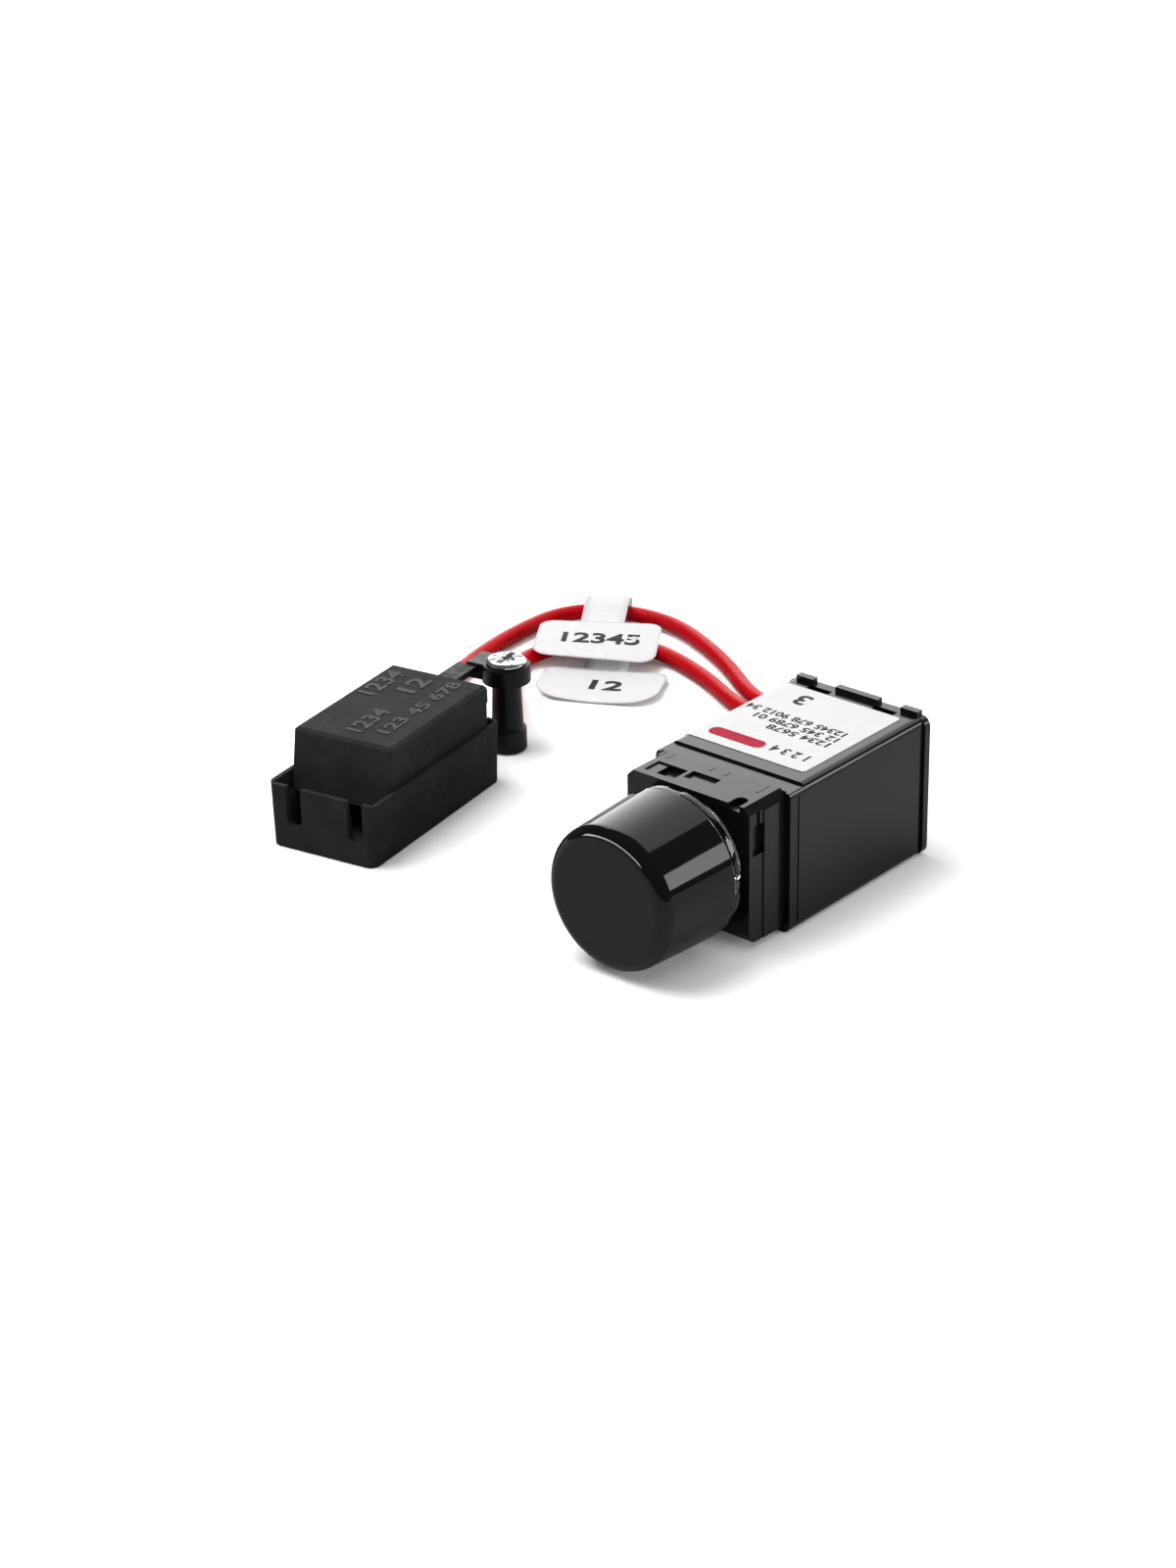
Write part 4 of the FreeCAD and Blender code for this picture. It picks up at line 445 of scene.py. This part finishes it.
def paper_tag(name, node, at, turn, side_view, flag):
    """One tag as a thin sheet, turned by degrees and set on its lead."""
    bm = bmesh.new()
    flag_of_paper(bm, *flag)
    loop_of_paper(bm, side_view)
    bmesh.ops.remove_doubles(bm, verts=bm.verts, dist=0.01 * MM)
    area = sum(face.calc_area() for face in bm.faces)
    settle = Matrix.Translation(Vector((*at, 0)) * MM) @ Matrix.Rotation(math.radians(turn), 4, "Z")
    bmesh.ops.transform(bm, matrix=settle, verts=bm.verts)
    bmesh.ops.recalc_face_normals(bm, faces=bm.faces)
    tag = piece_from(name, bm, tag_paper, sharp_angle=60)
    thickness = tag.modifiers.new("paper_thickness", "SOLIDIFY")
    thickness.thickness = PAPER
    thickness.offset = 0
    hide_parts(node)
    print(name, "paper area:", round(area * 1e6), "mm2")
    return tag, settle, area


# %% Two tags
ACTIVE_DEPTH = 13.2 * MM
LOAD_DEPTH = 12.5 * MM
ACTIVE_PLACE = (-80.9, 67.6)
LOAD_PLACE = (-70.9, 57.6)


def active_height(across, along):
    """The upper flag rests on the inner lead and droops beyond it, more so on its right."""
    return 3.55 - 0.25 * along - 1.2 * along ** 2 * (0.55 + 0.45 * across)


def load_height(across, along):
    """The lower flag lies on the floor, and its two ends curl up."""
    return 0.50 - 0.25 * along + across ** 2 * (0.35 + 0.75 * along)


ACTIVE_LOOP = [
    (11.0, 3.36), (9.2, 3.47), (7.6, 3.62), (6.0, 3.86), (4.6, 4.18), (3.6, 4.45), (3.1, 4.52),
    (2.6, 4.52), (1.4, 4.42), (0.0, 4.20), (-1.2, 3.90), (-1.9, 3.55), (-2.25, 3.0), (-2.3, 2.0),
    (-2.1, 1.0), (-1.6, 0.35), (-0.6, 0.12), (0.8, 0.14), (2.0, 0.5), (3.4, 1.15), (5.2, 1.95),
    (7.6, 2.85), (9.2, 3.18), (11.0, 3.24),
]
LOAD_LOOP = [
    (10.0, 0.34), (8.5, 0.38), (7.4, 0.72), (6.2, 1.30), (5.0, 1.95), (3.6, 2.70), (2.2, 3.20),
    (0.8, 3.36), (-0.6, 3.32), (-1.6, 2.95), (-2.0, 2.3), (-2.05, 1.5), (-1.9, 0.8), (-1.4, 0.30),
    (-0.5, 0.12), (0.8, 0.12), (2.4, 0.14), (4.6, 0.16), (6.6, 0.18), (8.5, 0.19), (10.0, 0.19),
]
ACTIVE_FLAG = (9.2, ACTIVE_DEPTH, 0.0, (2.4, 2.8), active_height)
LOAD_FLAG = (8.3, LOAD_DEPTH, 0.7, (2.6, 4.6), load_height)
tag_active, active_settle, active_area = paper_tag(
    "tag_active_paper", "tag_active", ACTIVE_PLACE, 33, ACTIVE_LOOP, ACTIVE_FLAG)
tag_load, load_settle, load_area = paper_tag(
    "tag_load_paper", "tag_load", LOAD_PLACE, 27, LOAD_LOOP, LOAD_FLAG)

# %% [markdown]
# ## Plain marks
# Tags and labels carry print. Here they get plain figures and one bar that mean nothing in particular.
# A text object is the quickest way to a clean figure. It is converted to a mesh while it still lies at
# the origin, then moved to its place. On a tag it first follows the curl of the paper.

# %% Mark helpers
INK = 0.02 * MM
FIGURE_SHARE = 0.7
BOLDNESS = 0.035
BAR_ROUNDING = 0.45


def thicken(piece, thickness):
    """Give a flat mark a thickness, half of it above its plane."""
    ink = piece.modifiers.new("mark_thickness", "SOLIDIFY")
    ink.thickness = thickness
    ink.offset = 0
    return piece


def figures(name, text, height, length, material, matrix, surface=None, body="root", thickness=INK):
    """Figures as a mesh of a height and a length, draped on a surface and laid by a matrix.

    A figure is as high as FIGURE_SHARE of its font's size.
    """
    curve = bpy.data.curves.new(name, "FONT")
    curve.body = text
    curve.size = height / FIGURE_SHARE
    curve.offset = height * BOLDNESS
    curve.resolution_u = 3
    curve.align_x = "CENTER"
    curve.align_y = "CENTER"
    maker = bpy.data.objects.new(f"{name}_maker", curve)
    scene.collection.objects.link(maker)
    bpy.context.view_layer.update()
    mesh = bpy.data.meshes.new_from_object(maker)
    stretch = length / maker.dimensions.x
    bpy.data.objects.remove(maker)
    bm = bmesh.new()
    bm.from_mesh(mesh)
    bmesh.ops.remove_doubles(bm, verts=bm.verts, dist=1e-7)
    bmesh.ops.scale(bm, vec=(stretch, 1, 1), verts=bm.verts)
    if surface:
        for vert in bm.verts:
            vert.co = surface(vert.co)
    bmesh.ops.transform(bm, matrix=matrix, verts=bm.verts)
    return thicken(piece_from(name, bm, material, body, smooth=False), thickness)


def bar(name, length, width, material, matrix):
    """A flat printed bar with round ends."""
    bm = bmesh.new()
    corners = bmesh.ops.create_grid(bm, x_segments=1, y_segments=1, size=0.5)["verts"]
    bmesh.ops.scale(bm, vec=(length, width, 1), verts=corners)
    bmesh.ops.bevel(bm, geom=corners, offset=width * BAR_ROUNDING, segments=6, profile=0.5,
                    affect="VERTICES", material=-1)
    bmesh.ops.transform(bm, matrix=matrix, verts=bm.verts)
    return thicken(piece_from(name, bm, material, smooth=False), INK)


# %% Figures on the tags
INK_LIFT = 0.12


def on_flag(flag, aside, along_middle):
    """Give the rule that lays a flat point on a flag: aside and along are the figures' middle."""
    neck, depth, flag_aside, radii, height = flag

    def lay(point):
        x = point.x + aside * MM
        y = point.y - along_middle * depth + depth / 2
        rise = height(x / (TAG_WIDTH / 2), 0.5 - y / depth) + INK_LIFT
        return Vector((x + flag_aside * MM, y - neck * MM - depth / 2, rise * MM))

    return lay


tag_marks = [
    figures("tag_active_figures", "12345", 3.4 * MM, 13.0 * MM, print_black, active_settle,
            on_flag(ACTIVE_FLAG, 0.2, 0.5)),
    figures("tag_load_figures", "12", 3.4 * MM, 5.4 * MM, print_black, load_settle,
            on_flag(LOAD_FLAG, 0.4, 0.5)),
]
print("marks on the tags:", len(tag_marks))

# %% Marks on the label
LABEL_FACE = 22.115
facing_rear = Matrix.Rotation(math.pi, 4, "Z")
label_marks = []


def on_label(x, y):
    """The place of a mark on the label, read from the rear."""
    return Matrix.Translation(Vector((x, y, LABEL_FACE)) * MM) @ facing_rear


# Each row gives its figures, left and right end, place along the depth, and height.
LABEL_ROWS = (
    ("1 2 3 4", 1.2, 7.6, 6.6, 1.9),
    ("1234 5678", -3.7, 7.2, 12.0, 1.5),
    ("12 345 6789 01", -7.8, 7.0, 14.1, 1.5),
    ("12345 678 9012 34", -10.6, 7.0, 16.2, 1.5),
    ("3", -6.5, -4.4, 22.3, 3.2),
)
label_marks.append(bar("label_pill", 9.6 * MM, 2.5 * MM, print_red, on_label(-4.9, 6.1)))
for i, (text, left, right, y, height) in enumerate(LABEL_ROWS):
    place = on_label((left + right) / 2, y)
    length = (right - left) * MM
    label_marks.append(figures(f"label_figures_{i}", text, height * MM, length, print_black, place))
print("marks on the label:", len(label_marks))

# %% [markdown]
# ## Raised figures on the cover
# A moulded cover often carries raised figures on its top, so this one gets plain rows of them. They are
# a little smoother than the grain around them, and they ride on the cover's body, so they rise with it.

# %% Figures on the cover
COVER_TOP = 16.6
RAISED = 0.2 * MM
SHROUD_TURN = math.radians(10.2)
shroud_middle = Matrix.Translation(Vector((-59.35, -9.71, 0)) * MM)
shroud_place = shroud_middle @ Matrix.Rotation(SHROUD_TURN, 4, "Z")
# Each row gives its figures, place across and along the cover, height, and length.
COVER_ROWS = (
    ("1234", -5.7, 7.9, 2.9, 9.4),
    ("1234", 0.2, -4.6, 2.7, 8.6),
    ("12", -0.8, 9.2, 3.2, 5.4),
    ("123 45 678", 4.4, 2.9, 2.1, 20.5),
)
for i, (text, across, along, height, length) in enumerate(COVER_ROWS):
    spot = Matrix.Translation(Vector((across, along, COVER_TOP)) * MM)
    place = shroud_place @ (spot @ Matrix.Rotation(math.pi / 2, 4, "Z"))
    figures(f"cover_figures_{i}", text, height * MM, length * MM, shroud_raised, place,
                               body="cover", thickness=RAISED)

# %% [markdown]
# ## The pillar's screw
# The screw's head is the brightest part of the object. A cross recess and a rounded rim break up its
# reflections. The head is turned from a short profile with the spin operator. The recess is made by
# pushing four narrow arms of its top down, and a shallow tick between each two arms in the same way.

# %% Screw head
SCREW_AXIS = Vector((-60.125, 18.427, 0)) * MM
SCREW_SEAT = 14.56
SCREW_TOP = 15.45
CROWN = 15.3 * MM
RECESS = {"reach": 2.2, "middle": 0.57, "half_width": 0.5, "depth": 0.8 * MM}
TICK = {"from": 1.0, "to": 2.4, "half_width": 0.16, "depth": 0.25 * MM}


def spun(profile, steps):
    """Turn a (radius, height) profile, in millimetres, once about Z."""
    bm = bmesh.new()
    line = [bm.verts.new(Vector((radius, 0, height)) * MM) for radius, height in profile]
    edges = [bm.edges.new(pair) for pair in zip(line, line[1:])]
    bmesh.ops.spin(bm, geom=line + edges, cent=(0, 0, 0), axis=(0, 0, 1), dvec=(0, 0, 0),
                   angle=math.tau, steps=steps, use_merge=True, use_duplicate=False)
    bmesh.ops.remove_doubles(bm, verts=bm.verts, dist=1e-7)
    bmesh.ops.recalc_face_normals(bm, faces=bm.faces)
    return bm


def polar(vert, angles):
    """A point's distance from Z in millimetres, and how far it is from the nearest of some angles."""
    angle = math.atan2(vert.co.y, vert.co.x)
    away = min(abs(math.remainder(angle - mark, math.tau)) for mark in angles)
    return math.hypot(vert.co.x, vert.co.y) / MM, away


screw_profile = [
    (0, SCREW_SEAT), (2.8, SCREW_SEAT), (3.1, 14.60), (3.18, 14.72), (3.18, 14.88), (3.05, 15.10),
    (2.75, 15.27), (2.35, 15.36), (2.15, 15.38), (2.05, 15.39), (1.6, 15.42), (1.1, 15.44),
    (0.62, SCREW_TOP), (0.52, SCREW_TOP), (0.25, SCREW_TOP), (0, SCREW_TOP),
]
head = spun(screw_profile, steps=96)
for vert in [vert for vert in head.verts if vert.co.z > CROWN]:
    radius, arm = polar(vert, (0, math.pi / 2, math.pi, -math.pi / 2))
    in_arm = radius < RECESS["middle"] or arm * radius < RECESS["half_width"]
    in_tick = abs(arm - math.pi / 4) * radius < TICK["half_width"]
    if radius < RECESS["reach"] and in_arm:
        vert.co.z -= RECESS["depth"]
    elif TICK["from"] < radius < TICK["to"] and in_tick:
        vert.co.z -= TICK["depth"]
in_pillar = Matrix.Translation(SCREW_AXIS) @ Matrix.Rotation(SHROUD_TURN, 4, "Z")
bmesh.ops.transform(head, matrix=in_pillar, verts=head.verts)
shank = spun([(0, 7.72), (0.85, 7.75), (1.0, 7.9), (1.0, SCREW_SEAT), (0, SCREW_SEAT)], steps=32)
bmesh.ops.transform(shank, matrix=in_pillar, verts=shank.verts)
shank_mesh = bpy.data.meshes.new("shank")
shank.to_mesh(shank_mesh)
shank.free()
head.from_mesh(shank_mesh)
pillar_screw = piece_from("pillar_screw_head", head, screw_zinc, "screw", sharp_angle=30)
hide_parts("pillar_screw")
print("screw head:", len(pillar_screw.data.polygons), "faces")

# %% [markdown]
# ## Wound wire: the choke and the spring
# In the solids the choke's winding is one ring, and the spring's wire has corners. Here both are round
# wire. The spin operator can also climb: with a step along the axis at each turn it draws a coil from
# one small circle.

# %% Coils
WIRE_SIDES = 8
STEPS_PER_TURN = 24


def coil(name, start, radius, wire_radius, turns, climb, material, axis):
    """A helix of wire that starts at a point on its axis, Y or Z, and climbs along it."""
    bm = bmesh.new()
    bmesh.ops.create_circle(bm, cap_ends=False, radius=wire_radius, segments=WIRE_SIDES)
    upright = Matrix.Rotation(math.pi / 2, 4, "X") if axis == "Z" else Matrix.Identity(4)
    aside = Matrix.Translation(Vector((radius, 0, 0)))
    bmesh.ops.transform(bm, matrix=aside @ upright, verts=bm.verts)
    steps = round(turns * STEPS_PER_TURN)
    along = Vector((0, 0, 1)) if axis == "Z" else Vector((0, 1, 0))
    bmesh.ops.spin(bm, geom=list(bm.verts) + list(bm.edges), cent=(0, 0, 0), axis=along,
                   dvec=along * (climb / steps), angle=math.tau * turns, steps=steps, use_merge=False,
                   use_duplicate=False)
    open_edges = [edge for edge in bm.edges if edge.is_boundary]
    bmesh.ops.holes_fill(bm, edges=open_edges, sides=WIRE_SIDES)
    bmesh.ops.recalc_face_normals(bm, faces=bm.faces)
    bmesh.ops.translate(bm, vec=Vector(start) * MM, verts=bm.verts)
    return piece_from(name, bm, material)


KNOB_AXIS = 11.5
core_low, core_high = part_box("choke_core")
core_middle = (core_low + core_high) / 2 / MM
winding = coil("choke_wire", (core_middle.x, core_middle.y, 5.75), radius=3.5 * MM, wire_radius=0.22 * MM,
               turns=13, climb=6.2 * MM, material=copper, axis="Z")
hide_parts("choke_winding")

SPRING_WIRE = 0.2
spring_low, spring_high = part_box("switch_spring")
spring_front = spring_low.y / MM + SPRING_WIRE
spring_climb = spring_high.y - spring_low.y - 2 * SPRING_WIRE * MM
spring = coil("push_spring", (0, spring_front, KNOB_AXIS), radius=2.2 * MM, wire_radius=SPRING_WIRE * MM,
              turns=3.5, climb=spring_climb, material=steel_bright, axis="Y")
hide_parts("switch_spring")
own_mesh(spring)
print("winding:", len(winding.data.polygons), "faces, spring:", len(spring.data.polygons), "faces")

# %% [markdown]
# ## The clear guide ring
# Clear plastic shows mostly the way it bends light, so its surface has to be smoother than the solid's
# facets. The ring is turned from one closed profile with small rounded rims, and laid along the knob's
# axis. The three notches in its flange are made by pushing a few points of the rear face forward.

# %% Guide ring
RING_FACE = -14.65
FLANGE_REAR = -13.35
RING_REAR = -9.95
NOTCH_FLOOR = -14.0
NOTCH_RADIUS = 9.7
NOTCH_HALF_WIDTH = 1.2
ring_profile = [
    (8.0, -16.95), (9.2, -16.95), (9.35, -16.8), (9.5, RING_FACE), (11.05, RING_FACE), (11.2, -14.6),
    (11.28, -14.5), (11.3, -14.35), (11.3, -13.65), (11.28, -13.5), (11.2, -13.4),
    (11.05, FLANGE_REAR), (9.8, FLANGE_REAR), (9.15, FLANGE_REAR), (9.15, -10.1), (9.05, RING_REAR),
    (8.1, RING_REAR), (8.0, -10.05), (8.0, -16.95),
]
ring = spun(ring_profile, steps=192)
for vert in ring.verts:
    radius, away = polar(vert, (0, -math.pi / 2, math.pi))
    behind_floor = vert.co.z > NOTCH_FLOOR * MM
    if radius > NOTCH_RADIUS and behind_floor and away * radius < NOTCH_HALF_WIDTH:
        vert.co.z = NOTCH_FLOOR * MM
along_knob = Matrix.Translation(Vector((0, 0, KNOB_AXIS)) * MM) @ Matrix.Rotation(-math.pi / 2, 4, "X")
bmesh.ops.transform(ring, matrix=along_knob, verts=ring.verts)
guide_ring = piece_from("guide_ring", ring, ring_clear, "knob_group", sharp_angle=50)
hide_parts("clear_ring")
print("guide ring:", len(guide_ring.data.polygons), "faces")

# %% [markdown]
# ## The floor and the room
# The photograph stands on pure white with a soft shadow. The floor is a plain pale diffuse surface,
# so it catches the shadow. For rays that go straight to the camera, or reach it through the clear ring,
# the surface also gives some light of its own. That share grows with the distance from the object, so
# the ground far away is pure white while the shadow close to the parts stays.

# %% Floor
FLOOR_RADIUS = 3.0
FLOOR_DROP = 0.0001
floor_bm = bmesh.new()
bmesh.ops.create_circle(floor_bm, cap_ends=True, radius=FLOOR_RADIUS, segments=96)
floor_mesh = bpy.data.meshes.new("floor")
floor_bm.to_mesh(floor_mesh)
floor_bm.free()
floor = bpy.data.objects.new("floor", floor_mesh)
floor.location.z = -FLOOR_DROP
scene.collection.objects.link(floor)
print("floor radius:", FLOOR_RADIUS, "m")

# %% Floor material
ROOM_PALENESS = 0.62
SEEN_PALENESS = 1.4
NEAR = {"distance": 0.06, "light": 0.045}
FAR = {"distance": 0.22, "light": 1.0}


def node_in(tree, kind, **settings):
    """A new node with some of its settings."""
    made = tree.nodes.new(f"ShaderNode{kind}")
    for setting, choice in settings.items():
        setattr(made, setting, choice)
    return made


def seen_share(tree):
    """One for rays from the camera, straight or through the clear ring, and zero for others."""
    path = node_in(tree, "LightPath")
    seen = node_in(tree, "Math", operation="MAXIMUM")
    tree.links.new(path.outputs["Is Camera Ray"], seen.inputs[0])
    tree.links.new(path.outputs["Is Transmission Ray"], seen.inputs[1])
    return seen.outputs[0]


floor_white = bpy.data.materials.new("floor_white")
floor_white.use_nodes = True
tree = floor_white.node_tree
tree.nodes.clear()
seen = seen_share(tree)
pale = node_in(tree, "MapRange")
pale.inputs["To Min"].default_value = ROOM_PALENESS
pale.inputs["To Max"].default_value = SEEN_PALENESS
matt = node_in(tree, "BsdfDiffuse")
tree.links.new(seen, pale.inputs["Value"])
tree.links.new(pale.outputs["Result"], matt.inputs["Color"])

where = node_in(tree, "TexCoord")
centred = node_in(tree, "Mapping")
centred.inputs["Location"].default_value = (0.03, -0.02, 0)
distance = node_in(tree, "VectorMath", operation="LENGTH")
growth = node_in(tree, "MapRange", interpolation_type="SMOOTHSTEP")
growth.inputs["From Min"].default_value = NEAR["distance"]
growth.inputs["From Max"].default_value = FAR["distance"]
growth.inputs["To Min"].default_value = NEAR["light"]
growth.inputs["To Max"].default_value = FAR["light"]
tree.links.new(where.outputs["Object"], centred.inputs["Vector"])
tree.links.new(centred.outputs["Vector"], distance.inputs[0])
tree.links.new(distance.outputs["Value"], growth.inputs["Value"])

lift_strength = node_in(tree, "Math", operation="MULTIPLY")
lift = node_in(tree, "Emission")
lift.inputs["Color"].default_value = (1, 1, 1, 1)
both = node_in(tree, "AddShader")
output = node_in(tree, "OutputMaterial")
tree.links.new(seen, lift_strength.inputs[0])
tree.links.new(growth.outputs["Result"], lift_strength.inputs[1])
tree.links.new(lift_strength.outputs[0], lift.inputs["Strength"])
tree.links.new(matt.outputs[0], both.inputs[0])
tree.links.new(lift.outputs[0], both.inputs[1])
tree.links.new(both.outputs[0], output.inputs["Surface"])
floor_mesh.materials.append(floor_white)
print("floor material:", len(tree.nodes), "nodes")

# %% [markdown]
# ## The world
# The room itself is nearly dark, because everything around black gloss shows in it, and a bright room
# would turn it grey. Seen directly or through the clear ring the world is white, as the photograph's
# background is.

# %% World
ROOM_LIGHT = 0.10
world = bpy.data.worlds.new("studio")
scene.world = world
world.use_nodes = True
tree = world.node_tree
tree.nodes.clear()
room = node_in(tree, "Background")
room.inputs["Color"].default_value = (0.97, 0.98, 1.0, 1)
room.inputs["Strength"].default_value = ROOM_LIGHT
white = node_in(tree, "Background")
white.inputs["Color"].default_value = (1, 1, 1, 1)
white.inputs["Strength"].default_value = 1.0
choose = node_in(tree, "MixShader")
output = node_in(tree, "OutputWorld")
tree.links.new(seen_share(tree), choose.inputs["Fac"])
tree.links.new(room.outputs[0], choose.inputs[1])
tree.links.new(white.outputs[0], choose.inputs[2])
tree.links.new(choose.outputs[0], output.inputs["Surface"])
print("world:", ROOM_LIGHT, "on the object, 1.0 behind it")

# %% [markdown]
# ## The lamps
# What black gloss shows is mostly the lamps, so each panel stands where the photograph's reflections
# say it was. A wide one behind the object fades from bright on the left to dim on the right, as the
# knob's upper side does. A small one behind on the right is the crisp bar on the knob's side, and a
# long low strip in front on the left draws the thin crescent along its rim. These three only reflect.
#
# Three more only give light, and are kept out of the reflections. The overhead panel on the left casts
# the soft shadows that fall to the right. The sky panel is wide and weak and fills them from straight
# above, and the low fill on the right lifts the walls on that side.

# %% Lamps
LAMPS_AIM = Vector((0, -0.01, 0.012))
FADE_START = 0.3


def panel(name, azimuth, elevation, distance, width, height, radiance, glossy=True, diffuse=True):
    """A flat lamp of even radiance, in metres, in a direction in degrees, aimed at the object."""
    data = bpy.data.lights.new(name, "AREA")
    data.shape = "RECTANGLE"
    data.size = width
    data.size_y = height
    data.energy = radiance * math.pi * width * height
    flat = math.radians(azimuth)
    rise = math.radians(elevation)
    away = Vector((math.cos(flat) * math.cos(rise), math.sin(flat) * math.cos(rise), math.sin(rise)))
    lamp = bpy.data.objects.new(name, data)
    lamp.location = away * distance + LAMPS_AIM
    lamp.rotation_euler = away.to_track_quat("Z", "Y").to_euler()
    lamp.visible_camera = False
    lamp.visible_glossy = glossy
    lamp.visible_diffuse = diffuse
    scene.collection.objects.link(lamp)
    return lamp


def fade_across(lamp, darkest):
    """Let a lamp fade across its width, along its own first surface coordinate."""
    lamp.data.use_nodes = True
    tree = lamp.data.node_tree
    surface = node_in(tree, "NewGeometry")
    split = node_in(tree, "SeparateXYZ")
    fade = node_in(tree, "MapRange", interpolation_type="SMOOTHERSTEP")
    fade.inputs["From Min"].default_value = FADE_START
    fade.inputs["From Max"].default_value = 1.0
    fade.inputs["To Min"].default_value = darkest
    fade.inputs["To Max"].default_value = 1.0
    tree.links.new(surface.outputs["Parametric"], split.inputs[0])
    tree.links.new(split.outputs["X"], fade.inputs["Value"])
    tree.links.new(fade.outputs["Result"], tree.nodes["Emission"].inputs["Strength"])


back_panel = panel("back_panel", 114, 30, 0.75, 1.02, 0.90, 3.3, diffuse=False)
fade_across(back_panel, 0.44)
panel("bar_panel", 42.5, 16, 0.70, 0.27, 0.22, 5.6, diffuse=False)
panel("front_left_strip", -120, 13, 0.80, 0.85, 0.13, 14.0, diffuse=False)
panel("overhead_panel", 205, 63, 0.85, 0.60, 0.60, 4.8, glossy=False)
panel("sky_panel", 0, 90, 0.90, 1.60, 1.60, 0.6, glossy=False)
panel("right_fill", 20, 12, 0.80, 0.70, 0.30, 5.0, glossy=False)
scene.view_settings.view_transform = "Standard"
